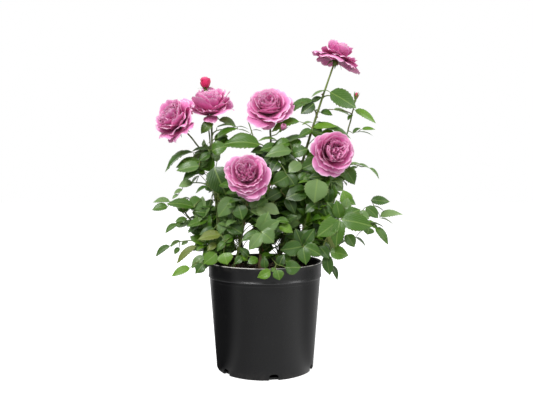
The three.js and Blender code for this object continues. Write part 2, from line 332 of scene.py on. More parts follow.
def pot_finish():
    """Blow-moulded black plastic: satin, faint upright draw marks, dust by the rim and foot, scuffs, and
    painted highlight lines on the bead, below it and along the lip.
    """
    finish = Finish("pot_plastic", Specular_IOR_Level=0.5)
    height = finish.height()
    draw = finish.cloud(46.0, 3.0, (1.0, 1.0, 0.06))
    patches = finish.cloud(17.0, 4.0)
    scuffs = finish.cloud(150.0, 5.0, (1.0, 1.0, 0.3), 0.7).fade(0.60, 0.74)
    dust = height.fade(*DUSTY_BAND) * finish.cloud(70.0, 4.0).fade(0.42, 0.62)
    foot = (1.0 - height.fade(*SCUFFED_FOOT)) * finish.cloud(60.0, 4.0).fade(0.40, 0.66)
    # A pale uneven line painted along the top edge of the lip: a painted highlight.
    lip_highlight = height.fade(*LIP_HIGHLIGHT_BAND) * finish.cloud(24.0, 3.0).fade(0.30, 0.50)
    # Thin uneven pale lines painted on the bead and a little below it: painted highlights.
    bead_highlight = 1.0 - (height - BEAD).size().fade(0.0005, 0.0013)
    second_highlight = 1.0 - (height - SECOND_HIGHLIGHT_LINE).size().fade(0.0002, 0.0008)
    painted_highlight_lines = (bead_highlight + second_highlight * 0.35) * (finish.cloud(30.0, 3.0).fade(0.25, 0.62) * 0.7 + 0.3)
    colour = finish.mix(patches, (0.0050, 0.0050, 0.0056, 1.0), (0.0085, 0.0085, 0.0092, 1.0))
    colour = finish.mix(scuffs * 0.10 + dust * 0.14 + foot * 0.10, colour, srgb(92, 88, 84))
    # The painted highlight lines, then the lip's painted highlight, are mixed into the colour here.
    colour = finish.mix(painted_highlight_lines * 0.34, colour, srgb(104, 104, 106))
    colour = finish.mix(lip_highlight * 0.9, colour, srgb(212, 209, 202))
    finish.set(Base_Color=colour, Roughness=0.24 + patches * 0.08 + scuffs * 0.16 + dust * 0.18)
    finish.set(Normal=finish.relief(draw * 0.8 + patches * 0.5, 0.16, 0.0016))
    return finish.material


def mix_finish(name, dark, light, damp):
    """Potting mix and bark fines: crumbly, dark, dull."""
    finish = Finish(name, Specular_IOR_Level=0.25)
    crumbs = finish.cloud(240.0, 6.0, (1.0, 1.0, 1.0), 0.65)
    patches = finish.cloud(36.0, 3.0)
    finish.set(Base_Color=finish.mix(crumbs * 0.6 + patches * 0.4, dark, light))
    finish.set(Normal=finish.relief(crumbs, 0.8, 0.0016), Roughness=damp + crumbs * 0.12)
    return finish.material


FINISHES = {
    "old_wood": bark_finish("old_wood", srgb(74, 60, 38), srgb(122, 104, 72), srgb(58, 46, 32), 0.62),
    "green_cane": bark_finish("green_cane", srgb(64, 78, 40), srgb(104, 118, 62), srgb(92, 66, 44), 0.42,
                              srgb(112, 132, 58)),
    "young_stem": bark_finish("young_stem", srgb(84, 104, 50), srgb(124, 142, 74), srgb(118, 78, 56), 0.40),
    "prickle": bark_finish("prickle", srgb(112, 66, 48), srgb(150, 96, 66), srgb(96, 54, 40), 0.38),
    # Petal finishes: heart, body, lip and edge pinks, then the pink let through; lip and edge are the painted
    # highlight's pinks.
    "petal": petal_finish("petal", srgb(172, 52, 116), srgb(226, 118, 184), srgb(249, 188, 228),
                          srgb(255, 234, 247), srgb(248, 130, 188)),
    "bud_petal": petal_finish("bud_petal", srgb(142, 12, 58), srgb(226, 40, 104), srgb(244, 92, 144),
                              srgb(250, 140, 180), srgb(245, 70, 120)),
    "calyx": mix_finish("calyx", srgb(80, 104, 46), srgb(122, 146, 72), 0.42),
    "pot": pot_finish(),
    "mix": mix_finish("potting_mix", srgb(26, 20, 15), srgb(62, 48, 36), 0.85),
    "chip": mix_finish("bark_chip", srgb(58, 40, 26), srgb(120, 88, 58), 0.75),
    "grit": mix_finish("perlite_grit", srgb(176, 172, 162), srgb(226, 222, 212), 0.85),
}
for tint in LEAF_TINTS:
    FINISHES["leaf_" + tint] = leaf_finish(tint)


# ---- geometry trees ----


# How far a scattered shape may be turned about its own axis, in radians.
FULL_TURN = 6.28


class Tree(Nodes):
    """A geometry tree with named inputs. It ends in Realize Instances and Set Material."""

    def __init__(self, name, inputs):
        super().__init__(bpy.data.node_groups.new(name, "GeometryNodeTree"))
        self.keys = {}
        self.tree.interface.new_socket("Start", in_out="INPUT", socket_type="NodeSocketGeometry")
        for label, kind in inputs.items():
            item = self.tree.interface.new_socket(label, in_out="INPUT", socket_type="NodeSocket" + kind)
            self.keys[label] = item.identifier
        self.tree.interface.new_socket("Made", in_out="OUTPUT", socket_type="NodeSocketGeometry")
        self.inputs = self.node("NodeGroupInput", {}, {}).outputs

    def carried(self, name, kind="FLOAT"):
        made = self.node("GeometryNodeInputNamedAttribute", {"data_type": kind}, {"Name": name})
        return next(socket for socket in made.outputs if socket.enabled)

    def picked(self, points, sockets):
        """One of the shapes on every point."""
        box = self.node("GeometryNodeCollectionInfo", {}, {
            "Collection": self.inputs["Shapes"], "Separate Children": True, "Reset Children": True})
        return self.node("GeometryNodeInstanceOnPoints", {}, {
            "Points": points, "Instance": box.outputs[0], "Pick Instance": True, **sockets}).outputs[0]

    def close(self, made):
        real = self.node("GeometryNodeRealizeInstances", {}, {"Geometry": made}).outputs[0]
        sockets = {"Geometry": real, "Material": self.inputs["Finish"]}
        done = self.node("GeometryNodeSetMaterial", {}, sockets).outputs[0]
        self.node("NodeGroupOutput", {}, {0: done})
        return self


def stem_tree():
    """A round stem along every line of the start mesh, as thick as its girth, with a rippled skin."""
    tree = Tree("stems", {"Sides": "Int", "Ripple": "Float", "Ripple scale": "Float", "Finish": "Material"})
    line = tree.node("GeometryNodeMeshToCurve", {}, {"Mesh": tree.inputs["Start"]}).outputs[0]
    sockets = {"Resolution": tree.inputs["Sides"], "Radius": 1.0}
    ring = tree.node("GeometryNodeCurvePrimitiveCircle", {}, sockets)
    sockets = {"Curve": line, "Profile Curve": ring.outputs[0], "Scale": tree.carried("girth"),
               "Fill Caps": True}
    skin = tree.node("GeometryNodeCurveToMesh", {}, sockets).outputs[0]
    place = tree.node("GeometryNodeInputPosition", {}, {}).outputs[0]
    squeezed = tree.node("ShaderNodeVectorMath", {"operation": "MULTIPLY"}, {0: place, 1: (1.0, 1.0, 0.3)})
    sockets = {"Vector": squeezed.outputs[0], "Scale": tree.inputs["Ripple scale"], "Detail": 2.0}
    rise = (tree.number("ShaderNodeTexNoise", {}, sockets) - 0.5) * tree.inputs["Ripple"]
    outward = tree.node("GeometryNodeInputNormal", {}, {}).outputs[0]
    push = tree.node("ShaderNodeVectorMath", {"operation": "SCALE"}, {0: outward, "Scale": rise})
    skin = tree.node("GeometryNodeSetPosition", {}, {"Geometry": skin, "Offset": push.outputs[0]}).outputs[0]
    return tree.close(tree.node("GeometryNodeSetShadeSmooth", {}, {"Geometry": skin}).outputs[0])


def dealt_tree():
    """One of the shapes on every point of the start mesh, turned and sized as the point says."""
    tree = Tree("dealt_shapes", {"Shapes": "Collection", "Finish": "Material"})
    return tree.close(tree.picked(tree.inputs["Start"], {
        "Instance Index": tree.carried("shape", "INT"), "Rotation": tree.carried("turn", "QUATERNION"),
        "Scale": tree.carried("reach", "FLOAT_VECTOR")}))


def scattered_tree():
    """Shapes scattered over the start mesh, standing on it and turned at random."""
    tree = Tree("scattered_shapes", {
        "Shapes": "Collection", "Density": "Float", "Smallest": "Float", "Largest": "Float",
        "Tumble": "Float", "Seed": "Int", "Finish": "Material"})
    sockets = {"Mesh": tree.inputs["Start"], "Density": tree.inputs["Density"], "Seed": tree.inputs["Seed"]}
    spots = tree.node("GeometryNodeDistributePointsOnFaces", {}, sockets)
    standing = tree.node("FunctionNodeAxesToRotation", {"primary_axis": "Z", "secondary_axis": "Y"}, {
        "Primary Axis": spots.outputs["Normal"], "Secondary Axis": (0.0, 0.05, 1.0)})
    tumble = tree.inputs["Tumble"]
    lean = tree.node("ShaderNodeCombineXYZ", {}, {0: tumble, 1: tumble, 2: FULL_TURN})
    any_turn = tree.node("FunctionNodeRandomValue", {"data_type": "FLOAT_VECTOR"}, {
        0: (0.0, 0.0, 0.0), 1: lean.outputs[0], "Seed": tree.inputs["Seed"]})
    own = tree.node("FunctionNodeEulerToRotation", {}, {0: any_turn.outputs[0]})
    loose = tree.node("ShaderNodeMath", {"operation": "GREATER_THAN"}, {0: tumble, 1: 0.01})
    turned = tree.node("FunctionNodeRotateRotation", {"rotation_space": "LOCAL"}, {
        0: standing.outputs[0], 1: own.outputs[0]})
    turn = tree.node("GeometryNodeSwitch", {"input_type": "ROTATION"}, {
        0: loose.outputs[0], 1: standing.outputs[0], 2: turned.outputs[0]})
    sizes = tree.node("FunctionNodeRandomValue", {"data_type": "FLOAT"}, {
        2: tree.inputs["Smallest"], 3: tree.inputs["Largest"], "Seed": tree.inputs["Seed"]})
    size = next(socket for socket in sizes.outputs if socket.enabled)
    return tree.close(tree.picked(spots.outputs[0], {"Rotation": turn.outputs[0], "Scale": size}))


STEMS = stem_tree()
DEALT = dealt_tree()
SCATTERED = scattered_tree()


# ---- how a piece is made and put in place ----


def plain_mesh(name, points, faces, edges=()):
    mesh = bpy.data.meshes.new(name)
    mesh.from_pydata([tuple(point) for point in points], list(edges), list(faces))
    mesh.update()
    return mesh


def carry(mesh, name, kind, values):
    """Numbers on the points of a mesh, for a tree or a finish to read."""
    key = "vector" if kind == "FLOAT_VECTOR" else "value"
    mesh.attributes.new(name, kind, "POINT").data.foreach_set(key, values)


def lay_map(mesh, places):
    """The mesh's own map, from a place for each point."""
    own_map = mesh.uv_layers.new(name="UVMap")
    for loop in mesh.loops:
        own_map.data[loop.index].uv = places[loop.vertex_index]


def bridged(start, sides, rows, inward=False):
    """Faces between rings of points, each ring after the one below it."""
    faces = []
    for low in range(start, start + rows * sides, sides):
        for k in range(sides):
            step = (k + 1) % sides
            face = (low + k, low + step, low + sides + step, low + sides + k)
            faces.append(face[:1] + face[:0:-1] if inward else face)
    return faces


def smooth_piece(name, mesh, finish):
    mesh.materials.clear()
    mesh.materials.append(finish)
    mesh.polygons.foreach_set("use_smooth", [True] * len(mesh.polygons))
    return add_object(name, mesh)


def made_by(tree, name, start, **values):
    """The piece that a tree makes from a start mesh, as a plain mesh with no modifier left."""
    made = add_object(name, start)
    grower = made.modifiers.new("grower", "NODES")
    grower.node_group = tree.tree
    for label, value in values.items():
        grower[tree.keys[label.replace("_", " ")]] = value
    seen = made.evaluated_get(bpy.context.evaluated_depsgraph_get())
    result = bpy.data.meshes.new_from_object(seen)
    made.modifiers.remove(grower)
    made.data = result
    result.name = name
    return made


def grown_stems(name, rods, sides, ripple, ripple_scale, finish):
    return made_by(STEMS, name, line_mesh(name + "_lines", rods), Sides=sides, Ripple=ripple * MM,
                   Ripple_scale=ripple_scale, Finish=FINISHES[finish])


def scattered(name, bed, shapes, density, smallest, largest, tumble, seed, finish):
    return made_by(SCATTERED, name, bed, Shapes=shapes, Density=density, Smallest=smallest * MM,
                   Largest=largest * MM, Tumble=tumble, Seed=seed, Finish=FINISHES[finish])


def shape_box(name, meshes):
    """Shapes for a tree to pick from. They are never shown themselves."""
    box = bpy.data.collections.new(name)
    for count, mesh in enumerate(meshes):
        for face in mesh.polygons:
            face.use_smooth = True
        box.objects.link(bpy.data.objects.new(f"{name}_{count}", mesh))
    return box


def hand_in(made, slot, *stands_for):
    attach(made, "root")
    if stands_for:
        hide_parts(*stands_for)


# ---- canes, read from the frame ----

CANES = ["left_cane", "front_rose_cane", "tall_cane", "right_rose_cane", "right_bud_cane",
         "back_left_cane", "back_right_cane"]
SHOOTS = ["centre_rose_stem", "front_shoot", "left_rose_stem", "left_bud_stem", "left_low_shoot",
          "right_outer_shoot"]
STEP = 6.0 * MM
# Level cuts across a limb, and the points that its bent line is drawn with.
CUTS = 15
FINE_POINTS = 60
# In m: how near a shoot starts to the cane that bears it, from one leaf joint to the next, how far from its
# ends a cane bends fully, how far it bends, and how far its foot goes down into the mix.
JOIN_REACH = 0.03
JOINT_GAPS = (0.038, 0.052)
FULL_BEND = 0.03
JOINT_BEND = 0.0022
SUNK = 0.012


def smooth_line(points, girths):
    """The same line again in even steps."""
    spans = np.linalg.norm(np.diff(points, axis=0), axis=1)
    run = np.concatenate([[0.0], np.cumsum(spans)])
    count = max(3, int(run[-1] / STEP) + 1)
    at = np.linspace(0.0, run[-1], count)
    line = np.stack([np.interp(at, run, points[:, axis]) for axis in range(3)], axis=1)
    return line, np.interp(at, run, girths)


def read_limb(name):
    """Centre line and girth of a limb in the frame, from level cuts across it, smoothed."""
    mesh = nodes[name].data
    points = np.array([vertex.co[:] for vertex in mesh.vertices])
    edges = np.array([edge.vertices[:] for edge in mesh.edges])
    middle = points.mean(axis=0)
    axis = np.linalg.svd(points - middle, full_matrices=False)[2][0]
    axis = axis if axis[2] > 0 else -axis
    level = (points - middle) @ axis
    low, high = level.min(), level.max()
    first, second = level[edges[:, 0]], level[edges[:, 1]]
    hearts, girths, cuts = [], [], []
    for share in np.linspace(0.04, 0.96, CUTS):
        cut = low + (high - low) * share
        crossed = (first - cut) * (second - cut) < 0
        mixed = ((cut - first[crossed]) / (second[crossed] - first[crossed]))[:, None]
        ring = points[edges[crossed, 0]] * (1 - mixed) + points[edges[crossed, 1]] * mixed
        heart = (ring.min(axis=0) + ring.max(axis=0)) / 2
        hearts.append(heart)
        girths.append(np.linalg.norm(ring - heart, axis=1).mean())
        cuts.append(share)
    bends = [np.polyfit(cuts, np.array(hearts)[:, k], 4) for k in range(3)]
    full = np.linspace(0.0, 1.0, FINE_POINTS)
    line = np.stack([np.polyval(bend, full) for bend in bends], axis=1)
    return smooth_line(line, np.interp(full, cuts, girths))


LIMBS = {name: read_limb(name) for name in ["main_stem", *CANES, *SHOOTS]}


def nearest_on(line, place):
    gaps = np.linalg.norm(line - np.array(place), axis=1)
    return int(gaps.argmin()), float(gaps.min())


def join_to_parent(name):
    """Runs a shoot back into the cane that bears it."""
    line, girth = LIMBS[name]
    best = min((nearest_on(other, line[0])[1], key) for key, (other, _) in LIMBS.items() if key != name)
    if best[0] < JOIN_REACH:
        parent = LIMBS[best[1]][0]
        root = parent[nearest_on(parent, line[0])[0]]
        LIMBS[name] = (np.vstack([root, line]), np.concatenate([[girth[0] * 1.15], girth]))


def lengthen(name, extra):
    """Carries a cane on the way it ends, up into the bloom it bears."""
    line, girth = LIMBS[name]
    way = (line[-1] - line[-3]) / np.linalg.norm(line[-1] - line[-3])
    added = [line[-1] + way * extra * part / 3 for part in (1, 2, 3)]
    LIMBS[name] = (np.vstack([line, *added]), np.append(girth, [girth[-1]] * 3))


lengthen("tall_cane", 18.0 * MM)
lengthen("centre_rose_stem", 8.0 * MM)
lengthen("front_rose_cane", 6.0 * MM)
for shoot in SHOOTS:
    join_to_parent(shoot)


def with_joints(line, girth, seed):
    """Slight bends and a swelling at each leaf joint."""
    dice = random.Random(seed)
    gap = dice.uniform(*JOINT_GAPS)
    run = np.arange(len(line)) * STEP
    phase = (run / gap) % 1.0
    swell = 0.84 + 0.10 * np.exp(-((phase - 0.5) / 0.10) ** 2)
    side = np.where((run / gap).astype(int) % 2 == 0, 1.0, -1.0)
    sway = (np.abs(phase - 0.5) - 0.25) * side * JOINT_BEND
    heading = dice.uniform(0.0, math.tau)
    ends = np.minimum(1.0, np.minimum(run, run[-1] - run) / FULL_BEND)
    bent = line.copy()
    bent[:, 0] += sway * math.cos(heading) * ends
    bent[:, 1] += sway * math.sin(heading) * ends
    return bent, girth * swell


def line_mesh(name, rods):
    """Lines with a girth on every point, for the stem tree."""
    points, edges, girths = [], [], []
    for line, girth in rods:
        start = len(points)
        points.extend(tuple(point) for point in line)
        edges.extend((start + k, start + k + 1) for k in range(len(line) - 1))
        girths.extend(float(value) for value in girth)
    mesh = plain_mesh(name, points, [], edges)
    carry(mesh, "girth", "FLOAT", girths)
    return mesh


def sunk_foot(line, girth):
    """A cane goes a little way down into the mix."""
    heading = line[0] - line[1]
    below = line[0] + heading / np.linalg.norm(heading) * SUNK
    return np.vstack([below, line]), np.concatenate([[girth[0]], girth])


# ---- blooms ----


def bloom(stem, seed, cup=0.94, ragged=1.0, deeper=0.0, size=1.0, droop=0.0, nod=(0.0, 0.0, 0.0)):
    """How a bloom differs: cup of its heart, ragged petals, deeper pink, size in its place, droop of its
    outer petals in degrees, and which way it nods."""
    return SimpleNamespace(stem=stem, seed=seed, cup=cup, ragged=ragged, deeper=deeper, size=size,
                           droop=droop, nod=Vector(nod))


BLOOMS = {
    "left_rose": bloom("left_rose_stem", 11, ragged=1.7, deeper=0.04, size=1.03),
    "upper_left_rose": bloom("left_cane", 12, ragged=1.9, deeper=0.03),
    "centre_rose": bloom("centre_rose_stem", 13, cup=0.86, size=1.0, nod=(-0.12, 0.0, 0.25)),
    "top_rose": bloom("tall_cane", 19, cup=0.92, ragged=2.0, deeper=0.30, size=0.93, droop=42.0,
                      nod=(0.20, 0.36, 0.0)),
    "right_rose": bloom("right_rose_cane", 15, size=0.98),
    "front_rose": bloom("front_rose_cane", 16, cup=0.92, ragged=1.4, deeper=-0.06, size=0.92,
                        nod=(-0.05, 0.0, 0.12)),
}
# Petals that hang below a bloom: how far round from its lowest side, and size.
HANGING = {
    "left_rose": [(-0.65, 0.78)],
    "upper_left_rose": [(0.0, 0.7)],
    "centre_rose": [(-0.1, 0.72)],
    "top_rose": [(0.40, 1.30), (-0.5, 1.0), (2.3, 1.0), (-2.2, 0.9)],
    "right_rose": [(0.2, 0.7)],
    "front_rose": [(0.35, 0.95), (-0.35, 0.75)],
}
# The bloom that the petal sizes are given for, out to its widest petal in m, and its depth in mm.
MODEL_RADIUS = 0.0590
MODEL_DEPTH = 50.0
# Whorls in the heart and the petals in each, then the petals in the cupped rows and round the outside.
WHORLS = 6
WHORL_PETALS = 6
CUPPED_PETALS = 16
GUARD_PETALS = 12


def frame_along(heading):
    """A turn whose Z is the heading."""
    across = heading.cross(UP)
    across = across.normalized() if across.length > 0.05 else Vector((1.0, 0.0, 0.0))
    return Matrix((across, heading.cross(across), heading)).transposed()


def bloom_frame(node, stem, nod=Vector()):
    """Where a bloom sits, which way it looks, and how wide and deep it is, from the frame."""
    points = np.array([vertex.co[:] for vertex in nodes[node].data.vertices])
    foot = Vector(LIMBS[stem][0][-1])
    heading = ((Vector(points.mean(axis=0)) - foot).normalized() + nod).normalized()
    from_foot = points - np.array(foot)
    depths = from_foot @ np.array(heading)
    out = from_foot - np.outer(depths, np.array(heading))
    return foot, frame_along(heading), float(np.linalg.norm(out, axis=1).max()), float(depths.max())


class Gathered:
    """Parts gathered into one mesh."""

    def __init__(self):
        self.points = []
        self.faces = []

    def finished(self, name, finish):
        return smooth_piece(name, plain_mesh(name, self.points, self.faces), FINISHES[finish])


class Petals(Gathered):
    """Petals, each with its own map, its blush from foot to lip with a painted highlight along the lip, and
    its tone.
    """

    ACROSS = 15
    ALONG = 11
    FINE = 41

    def __init__(self):
        super().__init__()
        self.blush = []
        self.tone = []
        self.map = []

    def add(self, foot, turn, shape, dice):
        """shape: around, root, lift, length, width, lean of foot, belly and lip, flat, hold, ruffle, curl
        and depth of colour."""
        across = np.linspace(-1.0, 1.0, self.ACROSS)
        along = np.linspace(0.0, 1.0, self.ALONG) ** 0.85
        side, share = np.meshgrid(across, along)
        lean_foot, lean_belly, lean_lip = (math.radians(angle) for angle in shape["lean"])
        fine = np.linspace(0.0, 1.0, self.FINE)
        lean = lean_foot * (1 - fine) * (1 - 2 * fine) + lean_belly * 4 * fine * (1 - fine)
        lean = lean + lean_lip * fine * (2 * fine - 1)
        step = shape["length"] / (self.FINE - 1)
        out_line = shape["root"] + np.concatenate([[0.0], np.cumsum(np.sin(lean[:-1]) * step)])
        up_line = shape["lift"] + np.concatenate([[0.0], np.cumsum(np.cos(lean[:-1]) * step)])
        notch = dice.uniform(0.0, 0.09)
        skew = dice.uniform(-0.06, 0.06)
        nick = notch * np.exp(-((side - skew * 3) / 0.2) ** 2) * share ** 4
        reach = share * (1.0 - 0.17 * np.abs(side) ** 2.6 - nick)
        reach = reach * (1.0 + skew * side * share)
        out = np.interp(reach, fine, out_line)
        rise = np.interp(reach, fine, up_line)
        bend = np.interp(reach, fine, lean)
        spread = 0.34 + 0.66 * np.sin(np.minimum(share / 0.72, 1.0) * math.pi / 2)
        spread = spread * (1.0 - 0.16 * np.clip((share - 0.72) / 0.28, 0.0, 1.0) ** 2)
        offset = side * spread * shape["width"] / 2
        phase = dice.uniform(0.0, math.tau)
        pace = dice.uniform(3.0, 5.0)
        frill = np.sin(side * pace + phase) * 0.50 + np.sin(side * pace * 2.3 + phase * 1.7) * 0.32
        frill = frill + np.sin(side * 11.0 + share * 5.0 + phase * 2.9) * 0.22
        frill = frill * share ** 2.2 * shape["ruffle"]
        frill = frill + shape["curl"] * np.abs(side) ** 2.6 * share ** 1.3
        out = out + np.cos(bend) * frill
        rise = rise - np.sin(bend) * frill
        wrap = np.maximum(np.abs(out), shape["hold"])
        around, flat = shape["around"], shape["flat"]
        angle = around + offset * (1 - flat) / wrap
        x = out * np.cos(angle) - offset * flat * math.sin(around)
        y = out * np.sin(angle) + offset * flat * math.cos(around)
        start = len(self.points)
        placed = np.stack([x.ravel(), y.ravel(), rise.ravel()], axis=1) @ np.array(turn).T + np.array(foot)
        self.points.extend(map(tuple, placed))
        tone = dice.random()
        # The lip mask: a painted highlight along a petal's tip and sides, added into its blush.
        lip_highlight = np.maximum(np.clip((share - 0.90) / 0.10, 0.0, 1.0),
                         np.clip((np.abs(side) - 0.88) / 0.12, 0.0, 1.0))
        blush = 0.08 + 0.62 * share ** 1.15 - shape["depth"] * 0.34 * (1 - share ** 3) + 0.30 * lip_highlight * share
        self.blush.extend(np.clip(blush, 0.0, 1.0).ravel())
        self.tone.extend([tone] * blush.size)
        self.map.extend(zip((side.ravel() + 1) / 2, share.ravel()))
        for row in range(self.ALONG - 1):
            for column in range(self.ACROSS - 1):
                corner = start + row * self.ACROSS + column
                self.faces.append((corner, corner + 1, corner + 1 + self.ACROSS, corner + self.ACROSS))

    def finished(self, name, finish):
        made = super().finished(name, finish)
        carry(made.data, "blush", "FLOAT", self.blush)
        carry(made.data, "tone", "FLOAT", self.tone)
        lay_map(made.data, self.map)
        return made


def full_bloom(petals, name):
    """A heart of folded petals in whorls, cupped rows round it, wide guard petals, and a few that hang."""
    habit = BLOOMS[name]
    cup, ragged, deeper, droop = habit.cup, habit.ragged, habit.deeper, habit.droop
    foot, turn, radius, depth = bloom_frame(name, habit.stem, habit.nod)
    dice = random.Random(habit.seed)
    unit = MM * habit.size * radius / MODEL_RADIUS
    tall = cup * min(1.35, max(0.90, depth / (MODEL_DEPTH * unit)))
    drop = turn.inverted() @ -UP
    low_side = math.atan2(drop.y, drop.x)
    sag = math.hypot(drop.x, drop.y)
    start = dice.uniform(0.0, math.tau)

    def low_share(around):
        return math.cos(around - low_side) * sag

    def whorl(number):
        """Petals folded into one another: the last whorl in the middle, the others round it."""
        in_ring = number < WHORLS - 1
        bearing = start + number * math.tau / (WHORLS - 1) + dice.uniform(-0.25, 0.25)
        away = (dice.uniform(5.5, 8.5) if in_ring else 0.6) * unit
        spot = foot + turn @ Vector((away * math.cos(bearing), away * math.sin(bearing), 7.0 * unit))
        tilt = Matrix.Rotation(math.radians(dice.uniform(8, 20) if in_ring else 0.0), 3,
                               Vector((-math.sin(bearing), math.cos(bearing), 0.0)))
        for k in range(WHORL_PETALS):
            share = (k + 0.5) / WHORL_PETALS
            petals.add(spot, turn @ tilt, {
                "around": (bearing + (k % 2 - 0.5) * 1.7 + dice.uniform(-0.5, 0.5)
                           + (math.pi if k < 2 else 0.0)),
                "root": (0.4 + 2.2 * share) * unit, "lift": 0.0,
                "length": dice.uniform(36.0, 43.0) * unit * tall, "width": dice.uniform(22.0, 30.0) * unit,
                "lean": (12 + 14 * share, -2 + 9 * share, -22 + 44 * share + dice.uniform(-14, 14)),
                "flat": 0.12, "hold": (3.6 + 4.0 * share) * unit,
                "ruffle": dice.uniform(1.0, 2.0) * unit * ragged,
                "curl": (-0.6 + 2.2 * share) * unit, "depth": 0.34 - 0.30 * share + deeper}, dice)

    def cupped_petal(share, around):
        lift = low_share(around)
        petals.add(foot, turn, {
            "around": around, "root": (4.0 + 3.0 * share) * unit, "lift": (6.0 - 2.0 * share) * unit,
            "length": (48.0 + 4.0 * share) * unit * tall * (1.0 + dice.uniform(-0.07, 0.06) * ragged),
            "width": (42.0 + 10.0 * share) * unit * dice.uniform(0.9, 1.12),
            "lean": (40 + 18 * share + dice.uniform(-5, 5), 12 + 24 * share + dice.uniform(-6, 6) + 5 * lift,
                     -2 + 36 * share + dice.uniform(-12, 14) + 14 * max(0.0, lift)),
            "flat": 0.12 + 0.16 * share, "hold": 10.0 * unit,
            "ruffle": dice.uniform(0.9, 2.0) * unit * ragged,
            "curl": (0.3 + 2.0 * share) * unit, "depth": 0.50 - 0.25 * share + deeper}, dice)

    def guard_petal(share, around):
        lift = low_share(around)
        petals.add(foot, turn, {
            "around": around, "root": (5.5 + 1.5 * share) * unit, "lift": (4.0 - 3.5 * share) * unit,
            "length": (49.0 + 6.0 * share) * unit * (1.0 + dice.uniform(-0.07, 0.07) * ragged),
            "width": (54.0 + 9.0 * share) * unit * dice.uniform(0.92, 1.10),
            "lean": (60 + 16 * share + dice.uniform(-5, 5),
                     42 + 28 * share + dice.uniform(-7, 7) + 8 * lift + droop * 0.7,
                     46 + 44 * share + dice.uniform(-14, 18) + 24 * max(0.0, lift) + droop),
            "flat": 0.34 + 0.2 * share, "hold": 12.0 * unit,
            "ruffle": dice.uniform(2.0, 4.2) * unit * min(ragged, 1.6),
            "curl": (1.0 + 3.5 * share) * unit * ragged, "depth": 0.25 - 0.2 * share + deeper}, dice)

    for number in range(WHORLS):
        whorl(number)
    for k in range(CUPPED_PETALS):
        cupped_petal((k + 0.5) / CUPPED_PETALS, start + k * GOLDEN_TURN + dice.uniform(-0.25, 0.25))
    for k in range(GUARD_PETALS):
        guard_petal((k + 0.5) / GUARD_PETALS, start + 0.7 + k * GOLDEN_TURN + dice.uniform(-0.3, 0.3))
    for offset, size in HANGING[name]:
        petals.add(foot, turn, {
            "around": low_side + offset, "root": 6.0 * unit, "lift": -0.5 * MM,
            "length": 54 * unit * size, "width": 48 * unit * size,
            "lean": (84, 94 + 12 * sag, 122 + 22 * sag), "flat": 0.6, "hold": 12 * MM,
            "ruffle": 3.4 * unit, "curl": 4.0 * unit, "depth": deeper}, dice)
    return foot, turn, radius


def small_bud(petals, node, stem, rows, seed, shut=0.0):
    """A bud: petals rolled round one another, a few lips turned out."""
    foot, turn, radius, _ = bloom_frame(node, stem)
    length = max(high - low for low, high in zip(*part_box(node))) * (0.84 - 0.14 * shut)
    dice = random.Random(seed)
    for k in range(rows):
        share = (k + 0.5) / rows
        petals.add(foot, turn, {
            "around": k * GOLDEN_TURN, "root": radius * (0.10 + 0.25 * share), "lift": 0.5 * MM,
            "length": length * (1.02 - 0.16 * share), "width": radius * 2.5,
            "lean": (26 + 22 * share, 2 + 10 * share,
                     -24 + 60 * share ** 2 * (1 - shut) + dice.uniform(-8, 8)),
            "flat": 0.0, "hold": radius * (0.35 + 0.45 * share), "ruffle": radius * 0.10,
            "curl": radius * (-0.06 + 0.25 * share ** 2), "depth": 0.6 * (1 - share) + 1.2 * shut}, dice)
    return foot, turn, radius


class Greens(Gathered):
    """Hips and sepals."""

    def hip(self, foot, turn, rings, sides=10):
        start = len(self.points)
        for radius, rise in rings:
            for k in range(sides):
                angle = math.tau * k / sides
                spot = Vector((radius * math.cos(angle), radius * math.sin(angle), rise))
                self.points.append(tuple(turn @ spot + foot))
        self.faces += bridged(start, sides, len(rings) - 1)
        self.faces.append(tuple(reversed(range(start, start + sides))))
        self.faces.append(tuple(range(start + (len(rings) - 1) * sides, start + len(rings) * sides)))

    def sepal(self, foot, turn, around, length, width, lean, root, rows=7):
        start = len(self.points)
        out, rise = root, 0.0
        for row in range(rows):
            share = row / (rows - 1)
            half = width / 2 * (1 - share) ** 0.6 * (0.75 + 0.6 * math.sin(share * math.pi))
            half = max(half, 0.1 * MM)
            for side in (-1, 0, 1):
                spot = Vector((out + (0.0 if side else 0.10 * width), side * half, rise))
                spot = Matrix.Rotation(around, 3, "Z") @ spot
                self.points.append(tuple(turn @ spot + foot))
            angle = math.radians(lean[0] * (1 - share) + lean[1] * share)
            out += math.sin(angle) * length / (rows - 1)
            rise += math.cos(angle) * length / (rows - 1)
        for row in range(rows - 1):
            for column in range(2):
                corner = start + row * 3 + column
                self.faces.append((corner, corner + 3, corner + 4, corner + 1))

    def calyx(self, foot, turn, radius, lean, length):
        """A hip and five sepals, radius and length in mm; lean is of a sepal's foot and tip, in degrees."""
        hip, length = radius * MM, length * MM
        rings = [(hip * 0.42, -hip * 2.3), (hip * 0.75, -hip * 1.9), (hip * 1.0, -hip * 1.25),
                 (hip * 0.96, -hip * 0.6), (hip * 0.80, -hip * 0.1), (hip * 0.62, hip * 0.25)]
        self.hip(foot, turn, rings)
        for k in range(5):
            self.sepal(foot, turn, k * math.tau / 5 + 0.4, length, length * 0.28, lean, hip * 0.7)


rose_petals = Petals()
bud_petals = Petals()
greens = Greens()
bloom_spots = []
for name in BLOOMS:
    foot, turn, radius = full_bloom(rose_petals, name)
    greens.calyx(foot, turn, 5.2, (112, 168), 24)
    bloom_spots.append((foot + turn @ Vector((0, 0, 0.4 * radius)), radius))
foot, turn, radius = small_bud(bud_petals, "left_bud", "left_bud_stem", 14, 21)
greens.calyx(foot, turn, 4.4, (60, 125), 20)
bloom_spots.append((foot + turn @ Vector((0, 0, 0.018)), radius))
foot, turn, radius = small_bud(bud_petals, "right_bud", "right_bud_cane", 7, 22, 0.9)
greens.calyx(foot, turn, 3.0, (24, 4), 19)


